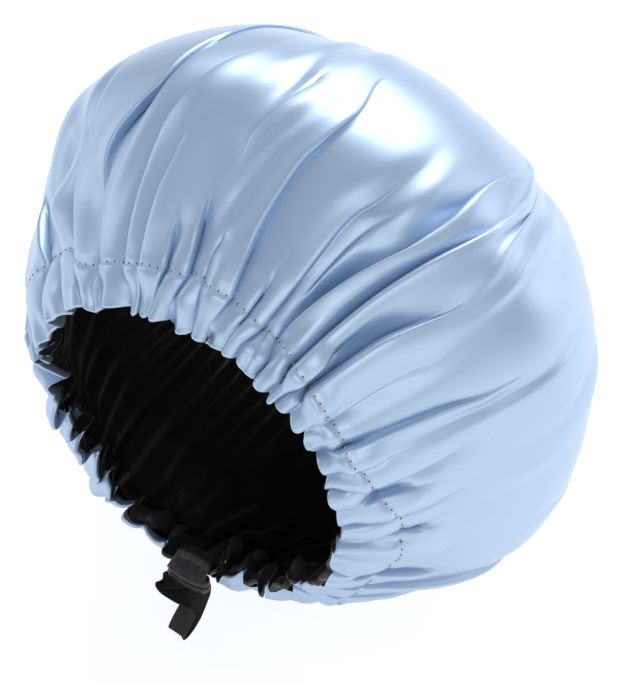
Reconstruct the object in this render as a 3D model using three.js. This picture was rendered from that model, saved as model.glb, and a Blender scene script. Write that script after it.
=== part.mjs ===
// Hair bonnet: a reversible double-layer satin cap, gathered on an elastic, with a pull loop at the nape.
// Millimetres, +Z up. The cap lies on its nape side as it would on a table: the opening faces -Y,
// the crown points to +Y, and X = 0 is its plane of symmetry. The origin is the middle of the flat
// patch of satin that rests on the table, right under the widest part of the dome.
import * as THREE from 'three';

// Dome, measured along its own axis from the ring where it is widest
const widestRadius = 142;
const crownDepth = 114;
const neckingDepth = 87;
const openingRadius = 82;
const neckingPower = 1.24;
const lieAngle = THREE.MathUtils.degToRad(3);
const sagShare = 0.045;
const sagPower = 1.5;
const restFlatDepth = 12;

// Cloth layers
const satinWall = 1.2;
const layerGap = 1.0;

// Gathers: folds run from the casing over the dome and die out at the crown. Each has a crease with its
// crest on one side; the angles go round the cap from the nape, in degrees, and turn is how far the
// fold has swung round where it ends.
const foldDepthAtCasing = 6;
const foldDepthAtWidest = 4.4;
const foldHalfStep = 2.2;
const panelStep = 11;
const rimWave = 2.5;
const exitHalfAngle = 6;
const mainFolds = [
  { angle: 30, crestSide: 1, sizeShare: 0.8, turn: 2 },
  { angle: 50, crestSide: -1, sizeShare: 0.9, turn: -2 },
  { angle: 91.5, crestSide: 1, sizeShare: 0.7, turn: 0 },
  { angle: 104.6, crestSide: 1, sizeShare: 0.8, turn: 0 },
  { angle: 137, crestSide: -1, sizeShare: 1, turn: -6 },
  { angle: 145.2, crestSide: -1, sizeShare: 1, turn: -9 },
  { angle: 153, crestSide: -1, sizeShare: 1.2, turn: -10 },
  { angle: 168.6, crestSide: 1, sizeShare: 0.9, turn: 0.8 },
  { angle: 198.8, crestSide: -1, sizeShare: 0.9, turn: -7 },
  { angle: 207.4, crestSide: -1, sizeShare: 1.1, turn: -5 },
  { angle: 219, crestSide: -1, sizeShare: 1.1, turn: 3 },
  { angle: 235, crestSide: -1, sizeShare: 0.9, turn: 2 },
  { angle: 255, crestSide: 1, sizeShare: 1, turn: 3 },
  { angle: 276, crestSide: -1, sizeShare: 1.1, turn: -3 },
  { angle: 298, crestSide: 1, sizeShare: 1, turn: 2 },
  { angle: 322, crestSide: -1, sizeShare: 0.8, turn: -2 },
];

// Casing along the opening, with the elastic inside it
const casingWidth = 19;
const elasticWidth = 10;
const elasticThickness = 1.0;
const casingEase = 0.7;
const exitColumns = 1;

// Sewing thread
const threadDiameter = 0.6;
const seamThreadDiameter = 0.4;
const threadClearance = 0.3;
const seamAllowance = 2.5;

// Exit sleeve: the bunched tube of lining that the elastic leaves the casing through
const sleeveLength = 10;
const sleeveHalfWidth = 9.5;
const sleeveWall = 1.2;
const sleeveGathers = 12;
const gatherDepth = 0.8;
const hemRoll = 1.2;
const hemHeight = 3;
const sleeveRimClearance = 0.4;
const swingDrop = 1.5;
const ovalSquareness = 2.6;
const boreSquareness = 10;

// Tail: two legs of the elastic and the bight that a finger pulls
const legSpacing = 3.2;
const legThickness = 1.2;
const legWidth = 10;
const legClearance = 0.35;
const sideClearance = 0.6;
const legEntry = 0.9;
const boreEnd = 0.4;
const legEnd = 21;
const tailLength = 33;
const ribCount = 8;
const ribDepth = 0.22;
const jointGap = 0.3;

// Mesh density
const hollowShare = 0.5;
const crestShare = -0.5;
const crownRingShares = [0.74, 0.48, 0.2, 0];
const neckingRingShares = [0.2, 0.5];
const bightSteps = 8;
const hemRollShares = [0, 0.5, 1, 1, 0.5];

const napeAngle = -Math.PI / 2;

// The columns of points round the cap: two at each main fold, more on the wide panels between them, and
// plain ones at the exit, where the sleeve takes the fullness
const foldColumns = mainFolds.flatMap(({ angle, crestSide, sizeShare, turn }) => [
  { angle: angle - foldHalfStep, share: sizeShare * (crestSide > 0 ? hollowShare : crestShare), turn },
  { angle: angle + foldHalfStep, share: sizeShare * (crestSide > 0 ? crestShare : hollowShare), turn },
]);
const exitColumn = (angle) => ({ angle, share: 0, turn: 0 });
const mainColumns = [exitColumn(exitHalfAngle), ...foldColumns, exitColumn(360 - exitHalfAngle)];
const columnPlan = [exitColumn(0), ...mainColumns.flatMap((column, index) => {
  const next = mainColumns[index + 1];
  if (!next || index % 2 === 1) return [column];
  const count = Math.round((next.angle - column.angle) / panelStep);
  const panel = Array.from({ length: count }, (_, step) => ({
    angle: THREE.MathUtils.lerp(column.angle, next.angle, (step + 1) / (count + 1)),
    share: 0,
    turn: THREE.MathUtils.lerp(column.turn, next.turn, (step + 1) / (count + 1)),
  }));
  return [column, ...panel];
})];
const columns = columnPlan.length;

// Colours and finishes
const paleSatin = new THREE.MeshStandardMaterial({ color: 0xa9c4e6, roughness: 0.28, metalness: 0 });
const blackSatin = new THREE.MeshStandardMaterial({ color: 0x0c0c0e, roughness: 0.32, metalness: 0 });
const blackElastic = new THREE.MeshStandardMaterial({ color: 0x161416, roughness: 0.85, metalness: 0 });
const paleThread = new THREE.MeshStandardMaterial({ color: 0x6f86ac, roughness: 0.6, metalness: 0 });
const lightThread = new THREE.MeshStandardMaterial({ color: 0xc9cbd2, roughness: 0.6, metalness: 0 });

// Place and outward normal of one ring of the dome, as axial distance and radius
function crownRing(share) {
  const angle = share * Math.PI / 2;
  const normal = new THREE.Vector2(Math.sin(angle) / crownDepth, Math.cos(angle) / widestRadius).normalize();
  return { axial: crownDepth * Math.sin(angle), radius: widestRadius * Math.cos(angle), normal };
}

function neckingRing(share) {
  const drawIn = widestRadius - openingRadius;
  const slope = drawIn * neckingPower * Math.pow(share, neckingPower - 1);
  return {
    axial: -neckingDepth * share,
    radius: openingRadius + drawIn * (1 - Math.pow(share, neckingPower)),
    normal: new THREE.Vector2(-slope, neckingDepth).normalize(),
  };
}

// Share of the necking that lies a given length of cloth short of the opening's edge
function shareFromRim(length) {
  const clothPerShare = Math.hypot(neckingDepth, (widestRadius - openingRadius) * neckingPower);
  return 1 - length / clothPerShare;
}

const stitchShare = shareFromRim(casingWidth);
const bandStartShare = shareFromRim((casingWidth + elasticWidth) / 2);
const bandEndShare = shareFromRim((casingWidth - elasticWidth) / 2);

// The rings from crown to rim; puff is how far the casing stands off to hold the elastic, and turned is
// the share of a fold's swing
const turnedAtWidest = 0.6;
const rings = [
  ...crownRingShares.map((share) => ({
    ...crownRing(share),
    fold: 1 - share,
    reach: 0,
    puff: 0,
    turned: THREE.MathUtils.lerp(turnedAtWidest, 1, share),
  })),
  ...neckingRingShares.map((share) => ({
    ...neckingRing(share),
    fold: 1,
    reach: share / stitchShare,
    puff: 0,
    turned: turnedAtWidest * (1 - share / stitchShare),
  })),
  { ...neckingRing(stitchShare), fold: 1, reach: 1, puff: 0 },
  { ...neckingRing(bandStartShare), fold: 1, reach: 1, puff: 1 },
  { ...neckingRing(bandEndShare), fold: 1, reach: 1, puff: 1 },
  { ...neckingRing(1), fold: 1, reach: 1, puff: 0, wave: 1 },
];
const stitchRing = crownRingShares.length + neckingRingShares.length;
const bandStartRing = stitchRing + 1;
const bandEndRing = stitchRing + 2;
const rimRing = stitchRing + 3;

const centreHeight = widestRadius * (1 + sagShare) - restFlatDepth;

// Turns a place on the dome, given along its axis, into the lying position
function lyingPoint(axial, radius, angle) {
  const below = Math.max(0, -Math.sin(angle));
  const sagged = radius * (1 + sagShare * Math.pow(below, sagPower));
  const rise = sagged * Math.sin(angle);
  return new THREE.Vector3(
    sagged * Math.cos(angle),
    axial * Math.cos(lieAngle) - rise * Math.sin(lieAngle),
    axial * Math.sin(lieAngle) + rise * Math.cos(lieAngle) + centreHeight,
  );
}

// A point of the gathered cloth, inset from the outer face towards the inside of the cap
function clothPoint(column, ringIndex, inset) {
  const ring = rings[ringIndex];
  const plan = columnPlan[column];
  const angle = napeAngle + THREE.MathUtils.degToRad(plan.angle + plan.turn * (ring.turned ?? 0));
  const depth = ring.fold * THREE.MathUtils.lerp(foldDepthAtWidest, foldDepthAtCasing, ring.reach);
  const offset = inset + depth * plan.share;
  const wave = (ring.wave ?? 0) * rimWave * (1 - plan.share);
  const point = lyingPoint(
    ring.axial - offset * ring.normal.x - wave,
    ring.radius - offset * ring.normal.y,
    angle,
  );
  point.z = Math.max(point.z, inset);
  return point;
}

// Insets of the layers at a ring, from the outside in
const pocketMiddle = satinWall + layerGap / 2;
function layerInsets(ringIndex) {
  const standOff = rings[ringIndex].puff * (elasticThickness / 2 + casingEase - layerGap / 2);
  return {
    shellOut: -standOff,
    shellIn: satinWall - standOff,
    liningOut: satinWall + layerGap + standOff,
    liningIn: 2 * satinWall + layerGap + standOff,
  };
}

// One closed body through a stack of rings; a ring of one point is a pole, and a closed stack has none.
// Each four-sided patch is split along the diagonal that lean picks for its level and side.
function skinThroughRings(stack, closed = false, lean = () => false) {
  const positions = [];
  const starts = stack.map((ring) => {
    const start = positions.length / 3;
    ring.forEach((point) => positions.push(point.x, point.y, point.z));
    return start;
  });
  const faces = [];
  const count = Math.max(...stack.map((ring) => ring.length));
  const joins = closed ? stack.length : stack.length - 1;
  for (let level = 0; level < joins; level += 1) {
    const next = (level + 1) % stack.length;
    for (let side = 0; side < count; side += 1) {
      const following = (side + 1) % count;
      if (stack[level].length === 1) {
        faces.push(starts[level], starts[next] + side, starts[next] + following);
      } else if (stack[next].length === 1) {
        faces.push(starts[level] + side, starts[next], starts[level] + following);
      } else if (lean(level, side)) {
        faces.push(starts[level] + side, starts[next] + side, starts[level] + following);
        faces.push(starts[level] + following, starts[next] + side, starts[next] + following);
      } else {
        faces.push(starts[level] + side, starts[next] + side, starts[next] + following);
        faces.push(starts[level] + side, starts[next] + following, starts[level] + following);
      }
    }
  }
  return bodyGeometry(positions, faces);
}

// Points every face outwards: a body whose signed volume is negative is turned inside out
function bodyGeometry(positions, faces) {
  const corner = (index) => new THREE.Vector3().fromArray(positions, 3 * index);
  let volume = 0;
  for (let face = 0; face < faces.length; face += 3) {
    const [first, second, third] = faces.slice(face, face + 3).map(corner);
    volume += first.dot(second.cross(third));
  }
  if (volume < 0) faces.reverse();
  const geometry = new THREE.BufferGeometry();
  geometry.setAttribute('position', new THREE.Float32BufferAttribute(positions, 3));
  geometry.setIndex(faces);
  geometry.computeVertexNormals();
  return geometry;
}

const columnIndices = Array.from({ length: columns }, (_, column) => column);
const ringIndices = rings.map((_, index) => index);

function clothRing(ringIndex, inset) {
  return columnIndices.map((column) => clothPoint(column, ringIndex, inset));
}

// A cloth layer: out over the dome from the crown to the rim, and back along its other face, with the
// patches of every face split alike, so that layers stay one gap apart, and mirrored about each ridge
function clothLayer(outFace, inFace) {
  const pole = (inset) => [lyingPoint(crownDepth - inset, 0, 0)];
  const outer = ringIndices.map((index) => clothRing(index, layerInsets(index)[outFace]));
  const inner = ringIndices.map((index) => clothRing(index, layerInsets(index)[inFace])).reverse();
  const crownInsets = layerInsets(0);
  const falls = (side) => columnPlan[(side + 1) % columns].share > columnPlan[side].share;
  const lean = (level, side) => (level > rings.length) !== falls(side);
  return skinThroughRings(
    [pole(crownInsets[outFace]), ...outer, ...inner, pole(crownInsets[inFace])],
    false,
    lean,
  );
}

// The elastic in its casing: an open ring whose two ends stop at the exit by the nape
function casingElastic() {
  const inset = { outer: pocketMiddle - elasticThickness / 2, inner: pocketMiddle + elasticThickness / 2 };
  const sections = columnIndices.filter((column) => column >= exitColumns && column <= columns - exitColumns)
    .map((column) => [
      clothPoint(column, bandStartRing, inset.outer),
      clothPoint(column, bandEndRing, inset.outer),
      clothPoint(column, bandEndRing, inset.inner),
      clothPoint(column, bandStartRing, inset.inner),
    ]);
  const middle = (section) => [
    section.reduce((sum, point) => sum.add(point), new THREE.Vector3()).divideScalar(section.length),
  ];
  return skinThroughRings([middle(sections[0]), ...sections, middle(sections[sections.length - 1])]);
}

// A thread laid round the cap beside a ring of the cloth, as one unbroken line of four-sided section
function threadRing(ringIndex, neighbourIndex, inset, diameter, setBack) {
  const half = diameter / 2;
  const sections = columnIndices.map((column) => {
    const at = (depth, along) => {
      const here = clothPoint(column, ringIndex, depth);
      const there = clothPoint(column, neighbourIndex, depth);
      return here.add(there.sub(here).normalize().multiplyScalar(along));
    };
    return [
      at(inset - half, setBack),
      at(inset, setBack + half),
      at(inset + half, setBack),
      at(inset, setBack - half),
    ];
  });
  return skinThroughRings(sections, true);
}

// Nape: the swing axis lies just in front of and below the rim's edge
const boreHalfThickness = (legSpacing + legThickness) / 2 + legClearance;
const sleeveHalfThickness = boreHalfThickness + sleeveWall;
const napeRim = clothPoint(0, rimRing, layerInsets(rimRing).shellOut);
const swingAxis = new THREE.Vector3(
  0,
  napeRim.y - sleeveHalfThickness - sleeveRimClearance,
  napeRim.z - swingDrop,
);

// Exit sleeve, gathered round its outside, with a rolled hem at its mouth and a bore for the two legs
function exitSleeve() {
  const sides = 2 * sleeveGathers;
  const spread = (value, squareness) => Math.sign(value) * Math.pow(Math.abs(value), 2 / squareness);
  const oval = (halfWidth, halfThickness, depth, gather, squareness = ovalSquareness) => (
    Array.from({ length: sides }, (_, side) => {
      const turn = 2 * Math.PI * side / sides;
      const inward = gather * (side % 2);
      return new THREE.Vector3(
        swingAxis.x + (halfWidth - inward) * spread(Math.cos(turn), squareness),
        swingAxis.y + (halfThickness - inward) * spread(Math.sin(turn), squareness),
        swingAxis.z - depth,
      );
    })
  );
  const root = (rise) => {
    const narrowing = Math.sqrt(1 - rise * rise);
    return oval(
      sleeveHalfWidth - sleeveHalfThickness * (1 - narrowing),
      sleeveHalfThickness * narrowing,
      -sleeveHalfThickness * rise,
      gatherDepth * narrowing,
    );
  };
  const hem = hemRollShares.map((roll, index) => oval(
    sleeveHalfWidth + hemRoll * roll,
    sleeveHalfThickness + hemRoll * roll,
    sleeveLength - hemHeight * (1 - index / (hemRollShares.length - 1)),
    gatherDepth,
  ));
  const boreHalfWidth = legWidth / 2 + sideClearance;
  const bore = (depth) => oval(boreHalfWidth, boreHalfThickness, depth, 0, boreSquareness);
  const centre = (depth) => [new THREE.Vector3(swingAxis.x, swingAxis.y, swingAxis.z - depth)];
  const rootShares = [0.9, 0.6, 0];
  return skinThroughRings([
    centre(-sleeveHalfThickness), ...rootShares.map(root), ...hem,
    bore(sleeveLength), bore(boreEnd), centre(boreEnd),
  ]);
}

// Section of the ribbed elastic, across its width (x) and through its thickness (y)
function ribbedSection() {
  const pitch = legWidth / ribCount;
  const points = [];
  for (const face of [1, -1]) {
    for (let rib = 0; rib < ribCount; rib += 1) {
      const from = face * (legWidth / 2 - rib * pitch);
      points.push(new THREE.Vector2(from, face * (legThickness / 2 - ribDepth)));
      points.push(new THREE.Vector2(from - face * pitch / 2, face * legThickness / 2));
    }
  }
  return points;
}

// Lofts the ribbed section through stations, each a place on the centre line and a turn about X
function ribbedStrap(stations) {
  const section = ribbedSection();
  const stack = stations.map(({ y, z, turn }) => section.map((point) => new THREE.Vector3(
    swingAxis.x + point.x,
    swingAxis.y + y + point.y * Math.cos(turn),
    swingAxis.z + z + point.y * Math.sin(turn),
  )));
  const capMiddle = ({ y, z }) => [new THREE.Vector3(swingAxis.x, swingAxis.y + y, swingAxis.z + z)];
  return skinThroughRings([capMiddle(stations[0]), ...stack, capMiddle(stations[stations.length - 1])]);
}

function elasticLeg(side) {
  const y = side * legSpacing / 2;
  return ribbedStrap([{ y, z: -legEntry, turn: 0 }, { y, z: -legEnd, turn: 0 }]);
}

// The bight: straight down, half a turn under, and straight up again
function pullLoop() {
  const bendRadius = legSpacing / 2;
  const bendHeight = bendRadius + legThickness / 2 - tailLength;
  const top = -legEnd - jointGap;
  const stations = [{ y: -bendRadius, z: top, turn: 0 }];
  for (let step = 0; step <= bightSteps; step += 1) {
    const turn = Math.PI * step / bightSteps;
    stations.push({
      y: -bendRadius * Math.cos(turn),
      z: bendHeight - bendRadius * Math.sin(turn),
      turn,
    });
  }
  stations.push({ y: bendRadius, z: top, turn: Math.PI });
  return ribbedStrap(stations);
}

const bonnet = new THREE.Group();
bonnet.name = 'hair_bonnet';

function addPiece(name, geometry, material) {
  const mesh = new THREE.Mesh(geometry, material);
  mesh.name = name;
  bonnet.add(mesh);
}

addPiece('outer_shell', clothLayer('shellOut', 'shellIn'), paleSatin);
addPiece('lining', clothLayer('liningOut', 'liningIn'), blackSatin);
addPiece('casing_elastic', casingElastic(), blackElastic);

const stitchInsets = layerInsets(stitchRing);
const threadStandOff = threadClearance + threadDiameter / 2;
const topstitchInset = stitchInsets.shellOut - threadStandOff;
const liningStitchInset = stitchInsets.liningIn + threadStandOff;
addPiece(
  'topstitch_thread',
  threadRing(stitchRing, bandStartRing, topstitchInset, threadDiameter, 0),
  paleThread,
);
addPiece(
  'lining_stitch_thread',
  threadRing(stitchRing, bandStartRing, liningStitchInset, threadDiameter, 0),
  lightThread,
);
addPiece(
  'rim_seam_thread',
  threadRing(rimRing, bandEndRing, pocketMiddle, seamThreadDiameter, seamAllowance),
  lightThread,
);

addPiece('exit_sleeve', exitSleeve(), blackSatin);
addPiece('elastic_leg_front', elasticLeg(-1), blackElastic);
addPiece('elastic_leg_back', elasticLeg(1), blackElastic);
addPiece('pull_loop', pullLoop(), blackElastic);

export default bonnet;
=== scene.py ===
"""Hair bonnet in pale blue satin with a black satin lining, gathered on an elastic.

The bonnet lies on its nape side: the opening faces -Y, the crown points to +Y and X = 0 is its plane
of symmetry. Every length is in metres. A place on the cloth is given by its column, the angle round
the cap where the gathers start, and its run, the length of cloth from the middle of the crown.
"""

import logging
import math
from collections.abc import Callable
from dataclasses import dataclass, field
from enum import Enum
from functools import cached_property

import bmesh
import bpy
import numpy as np
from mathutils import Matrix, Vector

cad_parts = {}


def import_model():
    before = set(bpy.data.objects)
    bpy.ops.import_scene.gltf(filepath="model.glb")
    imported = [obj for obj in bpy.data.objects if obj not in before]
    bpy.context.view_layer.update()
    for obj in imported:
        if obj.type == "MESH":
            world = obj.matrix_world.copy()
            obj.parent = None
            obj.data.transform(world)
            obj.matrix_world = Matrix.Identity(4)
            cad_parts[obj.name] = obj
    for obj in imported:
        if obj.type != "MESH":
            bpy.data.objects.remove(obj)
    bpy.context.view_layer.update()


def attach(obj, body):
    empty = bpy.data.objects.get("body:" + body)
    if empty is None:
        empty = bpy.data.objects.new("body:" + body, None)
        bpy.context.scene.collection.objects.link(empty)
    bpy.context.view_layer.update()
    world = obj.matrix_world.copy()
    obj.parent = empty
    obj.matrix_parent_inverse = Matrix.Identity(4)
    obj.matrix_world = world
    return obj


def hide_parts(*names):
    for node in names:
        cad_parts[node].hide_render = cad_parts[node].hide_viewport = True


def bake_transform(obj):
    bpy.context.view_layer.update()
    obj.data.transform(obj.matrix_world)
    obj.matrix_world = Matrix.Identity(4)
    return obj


LOG = logging.getLogger("bonnet")
CUT_MAP = "cut"
COURSE_POINTS = 80
WAVE_SIZES = (0.4, 1.0)
WAVE_TOTAL = 1.4


class Body(Enum):
    """The bodies that the pieces move with."""

    CAP = "cap"
    TAIL = "tail"
    LOOP = "loop"


class Slot(Enum):
    """The material slots of the record."""

    PALE_SATIN = "pale_satin"
    BLACK_SATIN = "black_satin"
    BLACK_ELASTIC = "black_elastic"
    BLUE_THREAD = "blue_thread"
    WHITE_THREAD = "white_thread"


def smooth_step(value: np.ndarray) -> np.ndarray:
    """Rises smoothly from 0 to 1 as value goes from 0 to 1."""
    share = np.clip(value, 0.0, 1.0)
    return share * share * (3.0 - 2.0 * share)


def turned(column: np.ndarray, angle: float) -> np.ndarray:
    """The angle from a line to each column, between minus and plus half a turn."""
    return (column - angle + math.pi) % math.tau - math.pi


def unit(vectors: np.ndarray) -> np.ndarray:
    """The vectors at length one."""
    return vectors / np.maximum(np.linalg.norm(vectors, axis=1, keepdims=True), 1e-12)


@dataclass(frozen=True)
class BonnetForm:
    """The smooth form of the cap, before its gathers."""

    widest_radius: float = 0.142
    crown_depth: float = 0.114
    necking_depth: float = 0.087
    opening_radius: float = 0.082
    necking_power: float = 1.24
    lie_angle: float = math.radians(3.0)
    sag_share: float = 0.045
    sag_power: float = 1.5
    rest_flat_depth: float = 0.012
    casing_width: float = 0.019
    rounding: float = 0.010
    samples: int = 1201
    nudge: float = 2e-4
    turn_nudge: float = 1e-4

    @property
    def centre_height(self) -> float:
        """Height of the dome's axis above the table."""
        return self.widest_radius * (1.0 + self.sag_share) - self.rest_flat_depth

    @cached_property
    def section(self) -> tuple[np.ndarray, np.ndarray, np.ndarray]:
        """The section of the form, by the length of cloth from the crown to the rim.

        The crown is a quarter of an ellipse and the neck a power curve; the bend between them is
        rounded off over a little cloth on both sides of the widest ring.

        Returns:
            The runs, with the axial place and the radius at each.
        """
        station = np.linspace(0.0, 2.0, self.samples)
        rise = np.clip(1.0 - station, 0.0, 1.0) * (math.pi / 2)
        neck = np.clip(station - 1.0, 0.0, 1.0)
        axial = self.crown_depth * np.sin(rise) - self.necking_depth * neck
        draw_in = (self.widest_radius - self.opening_radius) * neck**self.necking_power
        radius = self.widest_radius * np.cos(rise) - draw_in
        length = np.concatenate([[0.0], np.cumsum(np.hypot(np.diff(axial), np.diff(radius)))])
        widest = length[self.samples // 2]
        even = np.linspace(0.0, length[-1], self.samples)
        reach = np.arange(-3.0 * self.rounding, 3.0 * self.rounding, even[1])
        weight = np.exp(-((reach / self.rounding) ** 2) / 2)
        weight /= weight.sum()
        near = np.exp(-(((even - widest) / (4.0 * self.rounding)) ** 4))
        lines = []
        for line in (axial, radius):
            sharp = np.interp(even, length, line)
            soft = np.interp(even[:, None] + reach, length, line) @ weight
            lines.append(sharp + (soft - sharp) * near)
        steps = np.hypot(np.diff(lines[0]), np.diff(lines[1]))
        return np.concatenate([[0.0], np.cumsum(steps)]), lines[0], lines[1]

    @property
    def rim_run(self) -> float:
        """Length of cloth from the crown to the rim."""
        return float(self.section[0][-1])

    @property
    def stitch_run(self) -> float:
        """Length of cloth from the crown to the line of stitches above the casing."""
        return self.rim_run - self.casing_width

    def radius_at(self, run: np.ndarray) -> np.ndarray:
        """Radius of the smooth form at a run."""
        return np.interp(run, self.section[0], self.section[2])

    def place(self, angle: np.ndarray, run: np.ndarray) -> np.ndarray:
        """Points of the smooth form in the lying position.

        Args:
            angle: angle round the dome's axis, from +X towards the top.
            run: length of cloth from the crown.

        Returns:
            One row of x, y and z for each point.
        """
        axial, radius = (np.interp(run, self.section[0], line) for line in self.section[1:])
        below = np.maximum(0.0, -np.sin(angle))
        sagged = radius * (1.0 + self.sag_share * below**self.sag_power)
        rise = sagged * np.sin(angle)
        tilt = self.lie_angle
        return np.stack(
            [
                sagged * np.cos(angle),
                axial * math.cos(tilt) - rise * math.sin(tilt),
                axial * math.sin(tilt) + rise * math.cos(tilt) + self.centre_height,
            ],
            axis=1,
        )

    def frame(self, angle: np.ndarray, run: np.ndarray) -> tuple[np.ndarray, ...]:
        """Place, outward normal, and the directions round the cap and down to the rim.

        Args:
            angle: angle round the dome's axis.
            run: length of cloth from the crown.

        Returns:
            The four, each as one row of x, y and z for each point.
        """
        inner = np.clip(run, 2 * self.nudge, self.rim_run - self.nudge)
        turn = self.turn_nudge
        around = unit(self.place(angle + turn, inner) - self.place(angle - turn, inner))
        down = unit(self.place(angle, inner + self.nudge) - self.place(angle, inner - self.nudge))
        return self.place(angle, run), unit(np.cross(around, down)), around, down


def smooth_path(points: np.ndarray, count: int) -> np.ndarray:
    """A smooth line through given points.

    Args:
        points: one row for each point that the line passes through.
        count: how many points the line gets.

    Returns:
        The points of the line, spread evenly over the spans.
    """
    ends = np.concatenate([2 * points[:1] - points[1:2], points, 2 * points[-1:] - points[-2:-1]])
    place = np.linspace(0.0, len(points) - 1, count)
    span = np.minimum(place.astype(int), len(points) - 2)
    share = (place - span)[:, None]
    before, here, there, after = (ends[span + shift] for shift in range(4))
    bend = 2 * before - 5 * here + 4 * there - after
    twist = 3 * (here - there) + after - before
    return here + 0.5 * share * (there - before + share * (bend + share * twist))


@dataclass(frozen=True)
class Pleat:
    """A fold that the gathers send up over the dome.

    Args:
        angle: where it crosses the stitch line, in degrees.
        reach: how far it runs up from the stitch line.
        height: how far its crest stands up beside the crease.
        side: +1 where the crest lies on the side of the greater angle, -1 on the other.
        start: how far above the stitch line it begins.
        line: its course, as rows of the distance up from the stitch line, the degrees that it has
            turned away by there, and its height there as a share of the height.
    """

    angle: float
    reach: float
    height: float
    side: int
    start: float = 0.0
    line: tuple[tuple[float, float, float], ...] = ()

    @property
    def turn(self) -> float:
        """The angle in radians."""
        return math.radians(self.angle)

    @cached_property
    def course(self) -> np.ndarray:
        """The line as many closely spaced rows."""
        return smooth_path(np.array(self.line), COURSE_POINTS)

    def drift(self, rise: np.ndarray) -> np.ndarray:
        """How far the fold has turned round the cap at a distance up from the stitches."""
        return np.radians(np.interp(rise, self.course[:, 0], self.course[:, 1]))

    def share(self, rise: np.ndarray) -> np.ndarray:
        """Its height there as a share of the whole height.

        Args:
            rise: distance up from the stitch line, negative in the casing.

        Returns:
            The share at each distance.
        """
        if not self.line:
            return np.ones_like(rise)
        return np.interp(rise, self.course[:, 0], self.course[:, 2])


@dataclass(frozen=True)
class Dent:
    """A soft hollow, or with a negative depth a swell, that lies along the folds."""

    angle: float
    run: float
    half_length: float
    half_width: float
    depth: float
    slant: float = 0.0


# The folds that the front view shows, from the left round to the lower right
FRONT_PLEATS = (
    Pleat(163.0, 0.060, 0.0030, -1),
    Pleat(150.0, 0.050, 0.0026, 1),
    Pleat(138.0, 0.070, 0.0026, -1),
    Pleat(127.8, 0.125, 0.0034, -1, line=(
        (0.0, 0, 1.2), (0.021, 4.8, 1.1), (0.041, 6.4, 1), (0.078, 2.8, 1), (0.106, 2, 0.8),
    )),
    Pleat(123.0, 0.135, 0.0026, 1, 0.026, line=(
        (0.0, 0, 1), (0.046, 3.0, 1), (0.070, -3, 1.1), (0.083, -7, 1), (0.117, -10, 0.8),
    )),
    Pleat(116.6, 0.125, 0.0038, -1, line=(
        (0.0, 0, 1), (0.014, 1.2, 1.1), (0.032, 1.4, 1), (0.054, -0.6, 0.9), (0.075, -3.4, 1),
        (0.106, -5.0, 1),
    )),
    Pleat(108.0, 0.145, 0.0036, -1, line=(
        (0.0, 0, 0.8), (0.031, 1.8, 0.7), (0.059, 0.2, 0.9), (0.077, -3.0, 1.1), (0.102, -6.2, 1),
        (0.126, -7.4, 0.8),
    )),
    Pleat(103.0, 0.062, 0.0018, -1),
    Pleat(97.0, 0.026, 0.0018, 1),
    Pleat(90.0, 0.108, 0.0026, -1, 0.052),
    Pleat(91.8, 0.040, 0.0026, 1),
    Pleat(85.0, 0.022, 0.0020, -1),
    Pleat(79.3, 0.132, 0.0028, 1, line=(
        (0.0, 0, 1.2), (0.029, 2, 1), (0.061, 1.6, 0.8), (0.075, 0.2, 0.8), (0.096, -1.4, 1),
        (0.118, 0.2, 1),
    )),
    Pleat(73.0, 0.020, 0.0018, 1),
    Pleat(69.2, 0.090, 0.0030, 1, line=(
        (0.0, 0, 1.2), (0.022, -0.8, 1), (0.054, -1.2, 0.8), (0.072, -3.8, 0.7), (0.097, -5.6, 0.6),
    )),
    Pleat(65.8, 0.075, 0.0016, -1, 0.016),
    Pleat(60.8, 0.150, 0.0042, -1, line=(
        (0.0, 0, 0.8), (0.008, -0.8, 1.3), (0.026, -2.8, 1.5), (0.044, -4.6, 1.2), (0.063, -6.2, 0.8),
        (0.133, -10.6, 0.15),
    )),
    Pleat(60.3, 0.165, 0.0022, -1, 0.070, line=(
        (0.0, 0, 1), (0.030, -1.9, 1), (0.050, -3.8, 1), (0.074, -6.9, 1), (0.114, -8.0, 0.6),
        (0.156, -13.0, 0.1),
    )),
    Pleat(53.6, 0.142, 0.0036, -1, line=(
        (0.0, 0, 1), (0.013, 0, 1), (0.037, -0.8, 1), (0.061, -2.6, 0.9), (0.084, -5.2, 0.9),
        (0.126, -9.4, 0.35),
    )),
    Pleat(51.0, 0.018, 0.0030, 1),
    Pleat(46.0, 0.070, 0.0042, -1, line=(
        (0.0, 0, 1.1), (0.024, -0.4, 1), (0.037, -1.4, 1), (0.060, -4.2, 0.8),
    )),
    Pleat(38.2, 0.050, 0.0014, 1, line=((0.0, 0, 1), (0.022, -0.4, 1), (0.043, -2.4, 0.8))),
    Pleat(27.8, 0.080, 0.0017, -1, line=((0.0, 0, 1), (0.035, -2.7, 1), (0.054, -4.7, 0.8))),
    Pleat(22.0, 0.016, 0.0016, 1),
    Pleat(15.4, 0.058, 0.0036, 1, line=((0.0, 0, 1), (0.017, -0.2, 1), (0.037, 0, 0.8))),
    Pleat(8.0, 0.018, 0.0022, -1),
    Pleat(1.5, 0.036, 0.0032, 1),
    Pleat(-9.0, 0.016, 0.0020, -1),
    Pleat(-19.5, 0.030, 0.0028, 1),
)

# The long folds of the sides that the front view doesn't show
SIDE_PLEATS = tuple(
    Pleat(angle, reach, height, side, line=((0.0, 0, 1), (0.100, bend, 1)))
    for angle, reach, height, side, bend in (
        (176.0, 0.110, 0.0020, 1, 3.0),
        (192.0, 0.130, 0.0026, -1, -2.0),
        (208.0, 0.130, 0.0034, 1, 2.0),
        (232.0, 0.130, 0.0030, -1, -2.0),
        (300.0, 0.110, 0.0018, 1, 2.0),
        (320.0, 0.115, 0.0020, -1, -2.0),
    )
)

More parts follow.
